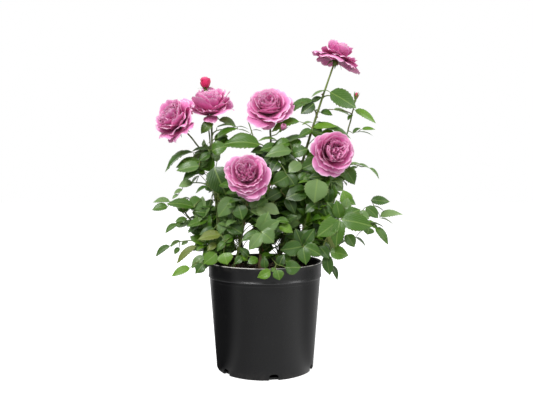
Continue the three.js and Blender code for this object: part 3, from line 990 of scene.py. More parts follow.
def side_bud(limb, share, goal, seed):
    """A very small bud on its own short stalk, beside a bloom. Returns the stalk."""
    line = LIMBS[limb][0]
    root = Vector(line[int(share * (len(line) - 1))])
    tip = root + Vector(goal) * MM
    heading = (tip - root + UP * 0.02).normalized()
    across = heading.cross(FRONT).normalized()
    turn = Matrix((across, heading.cross(across), heading)).transposed()
    dice = random.Random(seed)
    for k in range(6):
        part = (k + 0.5) / 6
        rose_petals.add(tip, turn, {
            "around": k * GOLDEN_TURN, "root": (1.0 + 1.4 * part) * MM, "lift": 0.5 * MM, "length": 19 * MM,
            "width": 16 * MM, "lean": (34 + 14 * part, 2 + 8 * part, -26 + 22 * part + dice.uniform(-6, 6)),
            "flat": 0.0, "hold": (3.0 + 3.0 * part) * MM, "ruffle": 0.6 * MM, "curl": 0.4 * MM,
            "depth": 0.2}, dice)
    greens.calyx(tip, turn, 3.2, (34, 12), 20)
    return [root, root * 0.45 + tip * 0.55 - UP * 0.004, tip]


bud_stalk = side_bud("centre_rose_stem", 0.76, (24.0, -40.0, 12.0), 23)

hand_in(rose_petals.finished("rose_petals", "petal"), "petals", *BLOOMS)
hand_in(bud_petals.finished("bud_petals", "bud_petal"), "bud_petals", "left_bud", "right_bud")
hand_in(greens.finished("hips_and_sepals", "calyx"), "foliage_fresh")


# ---- leaf blades ----

# Rows from foot to tip, and how far out a blade's fold, its edge and its teeth lie, as shares of half its
# width.
BLADE_ROWS = 9
FOLD_LINE = 0.52
EDGE_LINE = 0.94
TOOTH_LINE = 1.035


def leaf_blade(name, width, fold, droop, twist, sway):
    """One toothed leaflet, one unit long along Y, its rib in the middle, its face up."""
    points, faces, uvs = [], [], []

    def spot(side, along):
        half = width * max(0.0, math.sin(math.pi * along ** 0.86)) ** (0.50 + 0.36 * along)
        x = side * half
        lift = fold * abs(x) - 0.55 * fold * abs(side) ** 3 * half
        z = lift + 0.05 * math.sin(along * math.pi) - droop * along ** 2 + twist * x * along
        z += 0.010 * math.cos(along * 40.0) * abs(side)
        points.append((x + sway * math.sin(along * math.pi), along - 0.02 * abs(side) * along, z))
        uvs.append((side * half / (2 * width) + 0.5, along))
        return len(points) - 1

    ribs = [spot(0.0, k / BLADE_ROWS) for k in range(BLADE_ROWS + 1)]
    between = range(1, BLADE_ROWS)
    for hand in (-1, 1):
        inner = [ribs[0]] + [spot(hand * FOLD_LINE, k / BLADE_ROWS) for k in between] + [ribs[-1]]
        outer = [ribs[0]] + [spot(hand * EDGE_LINE, k / BLADE_ROWS) for k in between] + [ribs[-1]]
        for k in range(BLADE_ROWS):
            for first, second in ((ribs, inner), (inner, outer)):
                ring = [first[k], second[k], second[k + 1], first[k + 1]]
                ring = [point for count, point in enumerate(ring) if point not in ring[:count]]
                if len(ring) > 2:
                    faces.append(ring if hand > 0 else ring[::-1])
            if 0 < k:
                tooth = spot(hand * TOOTH_LINE, min(0.97, (k + 0.70) / BLADE_ROWS))
                ring = [outer[k], tooth, outer[k + 1]]
                faces.append(ring if hand > 0 else ring[::-1])
    mesh = plain_mesh(name, points, faces)
    lay_map(mesh, uvs)
    return mesh


BLADES = shape_box("blade", [
    leaf_blade("blade_broad", 0.385, 0.48, 0.14, 0.08, 0.010),
    leaf_blade("blade_folded", 0.365, 0.72, 0.22, -0.14, -0.025),
    leaf_blade("blade_slim", 0.330, 0.52, 0.24, 0.18, 0.030),
    leaf_blade("blade_flat", 0.400, 0.32, 0.10, -0.10, -0.012),
])
# The blade for slim leaflets, up to this width to length, and what its width and the others' come to.
SLIM_BLADE = 2
SLIM_UP_TO = 0.48
SLIM_WIDTH = 0.54
OTHER_WIDTH = 0.63


# ---- the crown ----

# How each mass is dressed: the limb that bears it, its greens, how many leaves fill it, and the
# leaflets laid one by one where they show. A laid leaflet is (foot across and up, tip across and up, depth,
# how far it faces forward, width to length, green); places are in the mass's own box, -1 to 1 each way,
# with depth -1 at the front.
MASSES = {
    "tall_right": ("tall_cane", "mid", 0, [
        (-0.32, 0.62, 1.13, -0.74, -0.2, 0.64, 0.54, "mid"),
        (-0.50, 0.77, -1.34, 0.40, 0.0, 0.15, 0.40, "sage")]),
    "tall_left": ("tall_cane", "mid fresh", 0, [
        (0.47, 0.40, -0.80, -0.54, 0.0, 0.30, 0.38, "mid"),
        (0.35, 0.25, 0.82, 0.78, 0.0, 0.50, 0.50, "deep"),
        (0.50, 0.10, -0.10, -0.85, -0.2, 0.80, 0.62, "deep")]),
    "under_right_bud": ("right_bud_cane", "fresh mid", 0, [
        (0.10, 0.50, 1.00, -0.50, 0.0, 0.40, 0.40, "fresh"),
        (-0.79, 0.55, -0.04, 0.19, 0.1, 0.34, 0.46, "sage"),
        (-1.30, 0.30, -0.82, 0.12, -0.1, 0.6, 0.55, "mid"),
        (-1.33, 0.25, -1.50, 0.55, 0.0, 0.5, 0.5, "sage"),
        (0.00, 0.07, -0.18, -0.47, 0.0, 0.3, 0.5, "fresh"),
        (0.40, -1.42, 0.93, -1.30, 0.0, 0.5, 0.38, "fresh"),
        (0.25, -1.70, 0.86, -1.83, 0.1, 0.15, 0.38, "sage"),
        (0.03, -1.83, 0.30, -1.24, 0.0, 0.4, 0.5, "mid")]),
    "tall_mid": ("tall_cane", "mid fresh", 1, [
        (-0.35, 0.70, -1.20, 0.25, -0.2, 0.38, 0.44, "mid"),
        (0.07, 0.57, -0.26, 0.62, 0.2, 0.15, 0.45, "sage"),
        (0.07, 0.17, 0.77, 0.50, 0.0, 0.38, 0.44, "fresh"),
        (0.10, 0.60, 0.50, 0.62, 0.3, 0.15, 0.40, "sage"),
        (0.40, 0.15, 1.24, -0.40, 0.1, 0.33, 0.42, "mid"),
        (0.03, -0.06, -0.37, -0.62, -0.2, 0.5, 0.55, "mid"),
        (0.05, -0.17, 0.38, -0.40, -0.2, 0.6, 0.6, "deep"),
        (-0.11, -0.74, -1.03, -1.20, -0.2, 0.35, 0.38, "mid")]),
    "centre_top": ("centre_rose_stem", "mid deep mid", 12, [
        (-0.03, 0.62, -0.80, 0.90, 0.0, 0.22, 0.45, "fresh"),
        (-0.03, 0.24, -0.75, 0.02, -0.4, 0.5, 0.55, "mid"),
        (0.50, 0.55, -0.20, 0.30, -0.4, 0.6, 0.6, "mid"),
        (0.57, -0.10, -0.50, -0.23, -0.8, 0.65, 0.46, "sage"),
        (0.60, -0.35, 1.22, 0.07, -0.5, 0.65, 0.6, "mid"),
        (-0.54, -0.10, -1.15, -0.10, -0.3, 0.6, 0.6, "deep"),
        (-0.30, -0.50, -0.70, -1.10, -0.4, 0.6, 0.6, "deep"),
        (0.90, 0.75, 0.60, 0.10, -0.2, 0.6, 0.6, "mid"),
        (0.00, -0.50, 0.30, -1.00, -0.5, 0.6, 0.5, "mid")]),
    "long_leaf": ("centre_rose_stem", "mid", 0, [
        (1.00, -0.30, -0.98, 0.26, -0.3, 0.55, 0.42, "mid"),
        (0.45, 0.60, -0.38, 1.16, 0.2, 0.3, 0.38, "fresh"),
        (0.56, 1.46, 1.10, 1.50, 0.2, 0.3, 0.45, "deep")]),
    "left_under_roses": ("left_cane", "sage mid", 1, [
        (-0.85, 0.73, -1.60, -0.12, 0.0, 0.75, 0.52, "mid"),
        (-0.38, 0.85, 0.75, 0.43, 0.2, 0.45, 0.5, "sage"),
        (-0.54, 0.25, 0.63, 0.55, -0.1, 0.14, 0.48, "fresh"),
        (-0.54, -0.54, 0.75, 0.31, -0.3, 0.38, 0.5, "mid"),
        (0.85, 0.30, 1.60, 0.25, 0.2, 0.12, 0.36, "sage"),
        (0.85, 0.10, 1.70, -0.05, 0.3, 0.12, 0.36, "sage")]),
    "left_fork": ("left_cane", "sage mid", 3, [
        (-0.05, -0.05, 0.75, 0.50, -0.4, 0.8, 0.8, "mid"),
        (-0.26, 0.07, -1.17, 0.24, 0.0, 0.3, 0.4, "deep"),
        (-0.35, 0.30, -0.25, 0.90, 0.0, 0.4, 0.5, "sage"),
        (-0.16, -0.27, -0.80, -0.95, -0.1, 0.6, 0.65, "mid"),
        (0.00, -1.00, 0.12, -0.45, 0.0, 0.3, 0.45, "deep"),
        (-0.05, 0.10, -0.55, -0.35, 0.1, 0.5, 0.7, "deep")]),
    "left_upper_outer": ("left_cane", "sage mid sage", 3, [
        (0.31, 0.86, -0.99, -0.13, -0.1, 0.25, 0.34, "mid"),
        (0.56, -0.27, -0.39, -0.50, -0.4, 0.6, 0.52, "sage"),
        (0.59, 0.08, -0.42, -0.20, -0.1, 0.48, 0.45, "mid"),
        (0.59, -0.62, -0.16, -1.35, -0.2, 0.38, 0.48, "deep"),
        (1.00, 0.75, 0.35, 0.90, 0.1, 0.35, 0.5, "mid"),
        (0.95, 0.20, 0.50, -0.35, 0.2, 0.5, 0.65, "sage")]),
    "left_cane_side": ("left_cane", "sage mid", 3, [
        (0.10, 0.98, 0.86, -0.79, -0.8, 0.80, 0.70, "deep"),
        (-0.27, -0.34, -1.12, -0.59, -0.2, 0.33, 0.42, "mid"),
        (0.00, -0.60, -0.25, -0.72, 0.0, 0.3, 0.6, "deep"),
        (0.50, 0.70, 1.05, 0.45, 0.2, 0.3, 0.5, "deep")]),
    "left_thin": ("left_cane", "sage", 0, [
        (0.26, 0.20, -0.45, -0.05, 0.0, 0.55, 0.62, "sage"),
        (0.61, 0.83, 0.15, 0.13, 0.0, 0.25, 0.42, "sage"),
        (-0.29, -0.38, -0.72, -0.75, 0.1, 0.38, 0.5, "sage"),
        (-0.50, -0.85, -0.82, -1.20, 0.1, 0.4, 0.5, "sage")]),
    "left_mid_outer": ("left_low_shoot", "sage mid", 3, [
        (-0.47, -0.30, -1.04, -0.50, -0.2, 0.55, 0.5, "mid"),
        (-0.39, 0.18, -0.98, 0.38, 0.1, 0.4, 0.45, "sage"),
        (0.50, -0.35, -0.45, 0.22, -0.3, 0.45, 0.44, "mid"),
        (0.35, 0.50, 0.00, 0.45, 0.3, 0.2, 0.4, "deep"),
        (0.78, 0.45, 0.36, -0.45, 0.0, 0.8, 0.85, "mid")]),
    "left_mid_inner": ("left_cane", "deep mid deep", 11, [
        (0.20, -0.20, -0.75, 0.00, -0.6, 0.65, 0.52, "mid"),
        (0.25, 0.75, -0.20, 0.35, -0.3, 0.5, 0.6, "deep"),
        (0.40, 0.30, 0.00, 0.05, -0.5, 0.5, 0.7, "deep")]),
    "left_low_outer": ("left_low_shoot", "mid deep fresh", 4, [
        (-0.37, -0.03, -0.85, -0.60, -0.2, 0.38, 0.45, "mid"),
        (-0.02, 0.46, -0.45, 0.25, -0.3, 0.5, 0.5, "mid"),
        (-0.10, 0.05, -0.30, -0.20, -0.3, 0.4, 0.5, "deep"),
        (0.78, 0.32, 0.00, -0.10, -0.4, 0.5, 0.5, "mid"),
        (0.45, -0.15, 0.03, -0.66, -0.2, 0.5, 0.5, "mid"),
        (0.45, 0.45, 0.10, 0.55, 0.1, 0.3, 0.5, "deep")]),
    "left_low_tip": ("left_cane", "fresh mid olive", 1, [
        (-0.32, -0.20, -1.02, -0.96, 0.0, 0.38, 0.45, "mid"),
        (0.14, 0.25, -0.32, -0.20, 0.0, 0.38, 0.5, "mid"),
        (0.10, -0.35, -0.13, -0.90, 0.0, 0.5, 0.7, "mid"),
        (0.90, -0.20, -0.07, -1.57, -0.2, 0.4, 0.28, "olive"),
        (0.50, 0.20, 0.20, -0.10, 0.1, 0.4, 0.6, "sage")]),
    "left_rim": ("left_cane", "mid fresh", 2, [
        (-0.34, -0.43, -1.11, -1.10, -0.2, 0.5, 0.48, "fresh"),
        (0.21, -0.05, -0.06, -0.90, -0.3, 0.75, 0.85, "mid"),
        (0.25, 0.80, -0.30, -0.30, 0.1, 0.4, 0.42, "sage"),
        (0.76, 1.10, 0.25, 0.05, -0.6, 0.8, 0.68, "fresh")]),
    "left_low_inner": ("left_cane", "mid deep olive", 12, [
        (0.35, -0.80, 0.50, -1.50, -0.95, 0.95, 1.0, "fresh"),
        (0.22, 0.32, -0.78, 0.16, -0.7, 0.4, 0.5, "olive"),
        (-0.08, 0.74, -0.75, 0.43, -0.4, 0.5, 0.5, "deep"),
        (0.30, 1.16, 0.19, 0.43, -0.5, 0.7, 0.65, "sage"),
        (0.53, 0.95, 1.19, 0.48, -0.6, 0.7, 0.65, "deep"),
        (0.77, 0.20, 0.26, -0.05, -0.5, 0.6, 0.65, "mid"),
        (0.42, -0.10, 0.03, -0.63, -0.8, 0.6, 0.55, "mid"),
        (0.00, -0.20, -0.40, -0.60, -0.6, 0.5, 0.65, "olive")]),
    "rim_front": ("front_rose_cane", "mid fresh", 5, [
        (-0.20, -0.30, -0.63, -0.90, -0.7, 0.7, 0.65, "mid"),
        (0.68, -0.45, 0.13, -0.88, -0.7, 0.7, 0.6, "fresh"),
        (0.16, -0.28, -0.30, 0.50, -0.5, 0.6, 0.6, "deep")]),
    "rim_drape": ("main_stem", "mid fresh", 1, [
        (-0.28, -0.54, -0.93, -1.08, -0.85, 0.9, 0.6, "fresh"),
        (0.06, -0.46, 0.20, -1.30, -0.9, 0.95, 0.95, "mid"),
        (0.50, -0.23, 1.30, -0.23, -0.7, 0.9, 0.75, "mid"),
        (0.20, -0.07, 0.40, 0.80, -0.3, 0.7, 0.75, "deep"),
        (-0.56, -0.30, -0.60, 0.64, -0.2, 0.7, 0.6, "mid"),
        (-0.05, -0.30, -0.20, -0.60, -0.8, 0.8, 0.8, "mid")]),
    "front_low": ("main_stem", "deep mid", 10, [
        (0.07, -0.07, -0.93, -0.27, -0.7, 0.85, 0.56, "mid"),
        (0.12, -0.12, 0.25, -1.05, -0.9, 0.85, 0.65, "mid"),
        (0.16, -0.07, 0.95, -0.53, -0.7, 0.85, 0.6, "mid"),
        (0.07, 0.00, -0.23, 0.87, -0.5, 0.85, 0.5, "deep"),
        (0.12, 0.00, 0.64, 0.87, -0.5, 0.85, 0.55, "mid")]),
    "right_low": ("right_rose_cane", "fresh mid deep", 11, [
        (-0.16, -0.24, 0.57, -0.36, -0.6, 0.7, 0.66, "fresh"),
        (-0.30, -0.36, -0.16, -1.20, -0.5, 0.7, 0.46, "mid"),
        (-0.10, -0.82, 0.21, -1.39, -0.2, 0.4, 0.38, "deep"),
        (0.52, 0.50, 0.85, 0.00, -0.2, 0.7, 0.68, "mid"),
        (-0.09, 0.73, 0.00, -0.05, -0.8, 0.8, 0.56, "olive"),
        (-0.60, 0.00, -0.20, -0.50, -0.6, 0.7, 0.6, "mid")]),
    "right_outer_low": ("right_outer_shoot", "mid fresh", 1, [
        (0.40, 0.22, 1.07, -0.84, 0.0, 0.38, 0.46, "mid"),
        (0.12, 0.55, 0.85, 0.36, 0.2, 0.15, 0.42, "deep"),
        (0.10, 0.23, 0.05, -0.25, -0.3, 0.8, 1.2, "mid"),
        (-0.50, -0.47, 0.00, -0.99, 0.0, 0.25, 0.4, "deep")]),
    "right_outer": ("right_outer_shoot", "sage mid", 0, [
        (-0.52, 0.62, 0.42, 0.60, -0.1, 0.75, 0.44, "mid"),
        (-0.78, 0.08, -0.15, -0.76, -0.3, 0.7, 0.52, "mid"),
        (-0.05, -0.70, 1.06, -0.24, 0.0, 0.42, 0.44, "sage"),
        (-0.43, 0.15, 0.25, -0.18, 0.3, 0.14, 0.4, "deep"),
        (-0.05, -0.84, 0.70, -1.17, 0.2, 0.14, 0.4, "sage"),
        (-0.97, -0.25, -0.54, -0.70, -0.3, 0.35, 0.5, "olive")]),
    "right_big": ("right_rose_cane", "fresh mid", 9, [
        (-0.02, -0.30, 1.07, -0.62, -0.9, 0.70, 0.48, "mid"),
        (0.00, -0.25, 0.62, 0.25, -0.6, 0.7, 0.62, "mid"),
        (0.20, 0.50, 0.08, 1.22, 0.1, 0.7, 0.8, "fresh"),
        (0.13, 0.17, 0.20, 0.82, -0.5, 0.75, 0.68, "sage"),
        (-0.07, -0.22, -0.20, 0.70, -0.6, 0.7, 0.5, "mid"),
        (-0.07, -0.32, -0.20, -1.70, -0.95, 0.85, 0.44, "mid"),
        (-0.14, -0.32, -0.86, -1.15, -0.9, 0.80, 0.52, "mid"),
        (-0.15, -0.20, -0.50, 0.60, -0.5, 0.6, 0.55, "deep"),
        (0.60, 0.10, 0.98, -0.22, -0.4, 0.6, 0.6, "sage")]),
    "right_core": ("right_rose_cane", "mid deep", 13, [
        (0.00, 0.55, -0.12, -0.38, -0.95, 0.9, 0.85, "sage"),
        (0.48, 0.66, -0.40, 0.66, -0.5, 0.5, 0.5, "deep"),
        (-0.43, 0.45, -1.00, 0.45, -0.6, 0.33, 0.38, "fresh"),
        (0.10, 1.35, -0.80, 1.00, 0.0, 0.8, 0.66, "mid"),
        (0.20, -0.40, 0.50, -0.95, -0.5, 0.6, 0.6, "deep"),
        (0.70, -0.30, 0.90, 0.30, -0.3, 0.6, 0.6, "mid"),
        (-0.10, -0.50, -0.60, -0.80, -0.6, 0.6, 0.6, "deep")]),
    "under_right_rose": ("right_rose_cane", "mid sage", 3, [
        (-0.08, 0.60, 0.56, -0.26, -0.6, 0.85, 0.62, "mid"),
        (-0.85, 0.07, -0.13, -0.66, -0.4, 0.8, 0.62, "sage"),
        (-0.54, -0.71, -0.23, -0.92, 0.0, 0.3, 0.42, "sage")]),
    "right_thin": ("right_rose_cane", "sage", 0, [
        (-0.53, 0.20, 0.00, 0.58, 0.0, 0.35, 0.42, "sage"),
        (-0.05, 0.35, 0.50, 0.07, 0.0, 0.4, 0.44, "sage"),
        (0.48, -0.03, 1.03, -0.97, 0.0, 0.25, 0.34, "sage"),
        (-0.10, 0.07, -0.47, -0.17, 0.0, 0.4, 0.44, "sage")]),
    "centre_core": ("main_stem", "deep deep mid", 28, [
        (0.15, 0.45, -0.35, 0.20, -0.9, 0.85, 0.85, "mid"),
        (-0.20, 0.95, -0.45, 0.60, -0.6, 0.6, 0.65, "deep"),
        (0.60, 0.90, 0.20, 0.60, -0.6, 0.6, 0.65, "sage"),
        (0.85, 0.60, 0.60, 0.30, -0.5, 0.6, 0.75, "deep"),
        (0.50, 0.12, -0.10, 0.08, -0.8, 0.3, 0.32, "fresh"),
        (0.85, 0.00, 0.10, -0.30, -0.9, 0.7, 0.6, "deep"),
        (0.10, -0.30, 0.40, -0.80, -0.8, 0.7, 0.55, "deep"),
        (-0.10, -0.10, -0.60, -0.35, -0.9, 0.7, 0.55, "deep"),
        (0.10, 0.50, 0.45, 0.05, -0.8, 0.7, 0.6, "deep")]),
    "centre_right": ("main_stem", "mid deep", 13, [
        (-0.25, -0.10, 0.33, -0.35, -0.6, 0.7, 0.62, "fresh"),
        (-0.20, -0.10, -0.48, -0.60, -0.5, 0.7, 0.62, "mid"),
        (0.17, 0.15, -0.40, 0.30, -0.6, 0.6, 0.52, "mid"),
        (0.10, 0.20, 0.50, 0.50, -0.3, 0.6, 0.6, "deep")]),
    "front_spray": ("front_shoot", "sage", 3, [
        (0.26, -0.27, 0.60, 0.75, -0.5, 0.85, 0.56, "sage"),
        (0.26, -0.27, 1.14, 0.31, -0.6, 0.85, 0.52, "sage"),
        (0.26, -0.27, 0.87, -0.80, -0.7, 0.9, 0.9, "sage"),
        (0.26, -0.35, -0.34, -1.20, -0.8, 0.85, 0.52, "sage"),
        (0.22, -0.32, -0.73, -0.66, -0.5, 0.5, 0.4, "mid")]),
    "under_front_rose": ("front_rose_cane", "mid sage", 7, [
        (-0.10, 0.65, -0.90, -0.60, -0.4, 0.85, 0.6, "sage"),
        (0.25, 0.15, 0.45, -0.80, -0.6, 0.85, 0.8, "mid"),
        (-0.10, 0.50, -0.10, -0.90, -0.1, 0.7, 0.6, "deep"),
        (0.60, 0.60, 0.85, 0.00, -0.1, 0.6, 0.6, "deep")]),
    "back_left_high": ("back_left_cane", "mid sage", 26, []),
    "back_left_low": ("back_left_cane", "deep mid", 26, []),
    "back_centre": ("back_left_cane", "mid deep", 34, []),
    "back_right_high": ("back_right_cane", "mid fresh", 26, []),
    "back_right_low": ("back_right_cane", "deep mid", 30, []),
}
# Where the crown stays open from front to back, as (across, up, half width, half height) in mm on the
# upright plane through the stems, seen from the front.
OPEN_SKY = [
    (-66, 300, 9, 20), (-48, 298, 12, 16), (-40, 332, 9, 13), (-27, 282, 10, 8), (27, 287, 15, 12),
    (45, 312, 6, 10), (88, 335, 6, 15), (-82, 500, 18, 24), (-112, 478, 6, 18), (80, 500, 14, 12),
    (32, 478, 7, 9), (17, 430, 7, 9), (-122, 388, 6, 10), (-155, 408, 14, 9), (-183, 363, 14, 10),
    (-205, 318, 25, 12), (-190, 252, 20, 9), (-165, 552, 22, 32), (-58, 592, 20, 30), (215, 428, 22, 12),
    (222, 308, 14, 8), (195, 306, 8, 6), (-30, 575, 12, 12), (75, 568, 30, 6), (100, 592, 25, 6),
    (-215, 425, 30, 25), (-225, 290, 20, 12), (245, 440, 30, 30), (168, 584, 36, 9), (216, 578, 12, 12),
    (-150, 449, 20, 9), (-140, 412, 22, 9), (88, 532, 18, 8), (66, 560, 14, 7), (173, 400, 6, 8),
    (-104, 568, 14, 7), (-122, 548, 4, 16), (-225, 368, 16, 8),
]
# Limbs that bear leaves all round, from one height to another in mm.
CLOTHED = [("main_stem", 250, 350), ("left_cane", 255, 560), ("front_rose_cane", 255, 400),
           ("tall_cane", 250, 520), ("right_rose_cane", 250, 450), ("right_bud_cane", 250, 500),
           ("back_left_cane", 245, 440), ("back_right_cane", 245, 500), ("tall_cane", 250, 480),
           ("right_bud_cane", 250, 440), ("left_cane", 255, 480), ("back_left_cane", 245, 440),
           ("back_right_cane", 245, 500)]
# Stretches of limb, in mm of height, that show bare from the front.
BARE = [("left_cane", 315, 420), ("tall_cane", 488, 600), ("centre_rose_stem", 535, 580)]
# Where the pairs of leaflets sit along a leaf, and their size towards the foot.
PAIRS_AT = {0: [], 1: [0.66], 2: [0.42, 0.76], 3: [0.28, 0.54, 0.80]}
PAIR_SIZE = [0.86, 0.76, 0.66]
# Words in the names of the masses whose leaves all stand behind the ones laid one by one.
OUTER_WORDS = ("outer", "thin", "tip", "tall", "rim", "long", "bud", "fork")
# The room a leaflet keeps, as a share of its length: from other leaflets and bare canes, and from open sky.
LEAFLET_ROOM = 0.27
SKY_ROOM = 0.22
# A leaflet is compared with this many laid before it.
REMEMBERED = 2500
# The room kept by a leaflet's middle, in m: above the pot's rim, outside it, and beyond the CAD.
ABOVE_RIM = 0.006
OUTSIDE_RIM = 0.010
BEYOND_CAD = 0.004
# The shares of a bloom's radius that stay clear of leaflets, all round it and before it.
BLOOM_ROOM = 0.86
BLOOM_FACE = 0.88
# A mass grows on the stretch of its limb within this reach of its middle, in m. It gets a twig of its own
# where no point of that stretch is near enough, as a share of the way from its middle to its edge.
BOUGH_REACH = 0.125
NEAR_ENOUGH = 0.60
# Half the width and height of a mass as it shows from the front, as a share of its box.
FILLED = 0.46


def seen_at(place, depth):
    """Where a place shows, from the front, on the upright plane at a depth."""
    return EYE + (place - EYE) * ((depth - EYE.y) / (place.y - EYE.y))


def shown_spot(place):
    """Where a place shows, across and up, on the upright plane through the stems."""
    seen = seen_at(place, 0.0)
    return seen.x, seen.z


def within(x, z, across, up, wide, tall):
    return ((x - across) / wide) ** 2 + ((z - up) / tall) ** 2 < 1.0


def arc(start, bend, stop, t):
    return start * (1 - t) ** 2 + bend * 2 * t * (1 - t) + stop * t * t


def leaflet_turn(heading, face):
    """The turn of a leaflet that points one way and faces another as far as it can."""
    side = heading.cross(face)
    if side.length < 0.05:
        side = heading.cross(Vector((0.3, -0.9, 0.2)))
    side.normalize()
    return Matrix((side, heading, side.cross(heading))).transposed().to_quaternion()


def how_far_out(place, middle, half):
    """How far a place is from the middle of a box: 1 on the round shape that fills it."""
    return math.sqrt(sum(((place[k] - middle[k]) / half[k]) ** 2 for k in range(3)))


def mass_spots():
    """Where each mass shows from the front, and how wide and tall."""
    spots = []
    for name in MASSES:
        low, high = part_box("foliage_" + name)
        across, up = shown_spot((low + high) / 2)
        spots.append((across, up, (high.x - low.x) * FILLED, (high.z - low.z) * FILLED))
    return spots


class Crown:
    """Twigs, leaf stalks and leaflets as they are laid."""

    def __init__(self, seed):
        self.dice = random.Random(seed)
        self.twigs = []
        self.stalks = []
        self.leaflets = {tint: [] for tint in LEAF_TINTS}
        self.hearts = []
        rim_low, rim_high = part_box("pot")
        self.rim = rim_high[2]
        self.rim_radius = (rim_high[0] - rim_low[0]) / 2
        self.bare = np.array([(*shown_spot(Vector(place)), place[1]) for limb, low, high in BARE
                              for place in LIMBS[limb][0] if low * MM < place[2] < high * MM])
        self.mass_spots = mass_spots()

    def has_room(self, heart, size, by_hand=False):
        """Whether a leaflet may be here: not in the pot, not in or before a bloom, not on another leaflet."""
        away = math.hypot(heart.x, heart.y)
        if heart.z < self.rim + ABOVE_RIM and away < self.rim_radius + OUTSIDE_RIM:
            return False
        for low, high, value in zip(CAD_LOW, CAD_HIGH, heart):
            if not low - BEYOND_CAD < value < high + BEYOND_CAD:
                return False
        for place, radius in bloom_spots:
            if (heart - place).length < radius * BLOOM_ROOM:
                return False
            if heart.y < place.y + 0.01 and not by_hand:
                seen = seen_at(heart, place.y)
                if math.hypot(seen.x - place.x, seen.z - place.z) < radius * BLOOM_FACE + size * 0.30:
                    return False
        if by_hand or not self.hearts:
            return True
        x, z = shown_spot(heart)
        room = size * SKY_ROOM
        for across, up, wide, tall in OPEN_SKY:
            if within(x, z, across * MM, up * MM, wide * MM + room, tall * MM + room):
                return False
        beside = np.hypot(self.bare[:, 0] - x, self.bare[:, 1] - z)
        nearest = int(beside.argmin())
        if beside[nearest] < 3.0 * MM + size * LEAFLET_ROOM and heart.y < self.bare[nearest, 2] + 4.0 * MM:
            return False
        near = np.linalg.norm(np.array(self.hearts[-REMEMBERED:]) - np.array(heart), axis=1).min()
        return near > size * LEAFLET_ROOM

    def leaflet(self, foot, heading, face, size, tint):
        """One leaflet, if there is room for it. Returns whether there is."""
        dice = self.dice
        heading = (heading - UP * dice.uniform(0.02, 0.22)).normalized()
        heart = foot + heading * size * 0.5
        if not self.has_room(heart, size):
            return False
        face = face + Vector([dice.uniform(-0.2, 0.2) for _ in range(3)])
        turn = leaflet_turn(heading, face)
        reach = (size * dice.uniform(0.90, 1.10), size, size * dice.uniform(0.7, 1.3))
        self.leaflets[tint].append((foot, turn, reach, dice.randrange(4), dice.random()))
        self.hearts.append(tuple(heart))
        return True

    def lay(self, foot, tip, facing, wide, tint, wood):
        """One leaflet from foot to tip, on a fine stalk from the nearest wood; wood grows by the stalk."""
        dice = self.dice
        root = min(wood, key=lambda place: (place - foot).length)
        span = foot - root
        size = (tip - foot).length
        heart = (foot + tip) / 2
        if not self.has_room(heart, size, by_hand=True):
            return
        if span.length > 3.0 * MM:
            count = max(3, int(span.length / (7 * MM)))
            bend = root + span * 0.5 + UP * span.length * 0.16
            line = [arc(root, bend, foot, k / count) for k in range(count + 1)]
            thick = (1.0 + min(0.8, span.length / 0.09)) * MM
            self.stalks.append((np.array(line), np.linspace(thick, 0.7 * MM, count + 1)))
            wood.extend(line[1:])
        heading = (tip - foot).normalized()
        face = UP * (1.0 - facing) + FRONT * facing
        face = face + Vector([dice.uniform(-0.12, 0.12) for _ in range(3)])
        turn = leaflet_turn(heading, face)
        shape = SLIM_BLADE if wide < SLIM_UP_TO else dice.choice((0, 1, 3))
        blade_width = SLIM_WIDTH if shape == SLIM_BLADE else OTHER_WIDTH
        size *= 1.05
        reach = (size * wide / blade_width, size, size * dice.uniform(0.6, 1.1))
        self.leaflets[tint].append((foot, turn, reach, shape, dice.random()))
        self.hearts.append(tuple(heart))

    def whole_leaf(self, foot, heading, aim, pairs, size, facing, tint):
        """A leaf from its foot on a twig to the tip of its end leaflet."""
        dice = self.dice
        span = aim - foot
        length = span.length
        size = min(size, length * (0.82 - 0.10 * pairs))
        bend = foot + heading * length * 0.30 + span * 0.22 + UP * length * 0.10
        out = Vector((aim.x, aim.y, 0.0))
        out = out.normalized() if out.length > 0.01 else FRONT
        ahead = (FRONT + out * 0.45).normalized() if aim.y < 0.02 else out
        face = (UP * (1.0 - facing) + ahead * facing).normalized()
        end = 1.0 - size / length * 0.93
        stalk = [arc(foot, bend, aim, end * k / 6) for k in range(7)]
        tip_heading = (aim - stalk[-1]).normalized()
        shown = self.leaflet(stalk[-1], tip_heading, face, size, tint)
        twigs = []
        for order, share in enumerate(reversed(PAIRS_AT[pairs])):
            spot = arc(foot, bend, aim, end * share)
            ahead_way = (arc(foot, bend, aim, min(1.0, end * share + 0.05)) - spot).normalized()
            for hand in (-1, 1):
                swing = math.radians(dice.uniform(52, 74)) * hand
                way = Matrix.Rotation(swing, 3, face) @ ahead_way
                start = spot + way * 2.0 * MM
                if self.leaflet(start, way, face, size * PAIR_SIZE[order] * dice.uniform(0.9, 1.08), tint):
                    twigs.append((spot, start))
        if not (shown or twigs):
            return
        self.stalks.append((np.array(stalk), np.linspace(1.25, 0.62, 7) * MM))
        for start, stop in twigs:
            self.stalks.append((np.array([start, stop]), np.array([0.6, 0.5]) * MM))

    def twig(self, foot, heading, goal, girth):
        """A side twig that leaves its limb at a slant and arches over to its goal."""
        span = goal - foot
        bend = foot + (heading + UP * 0.4).normalized() * span.length * 0.42 + span * 0.12
        count = max(4, int(span.length / (9 * MM)))
        line = [arc(foot, bend, goal, k / count) for k in range(count + 1)]
        self.twigs.append((np.array(line), np.linspace(girth, girth * 0.62, count + 1)))
        return line

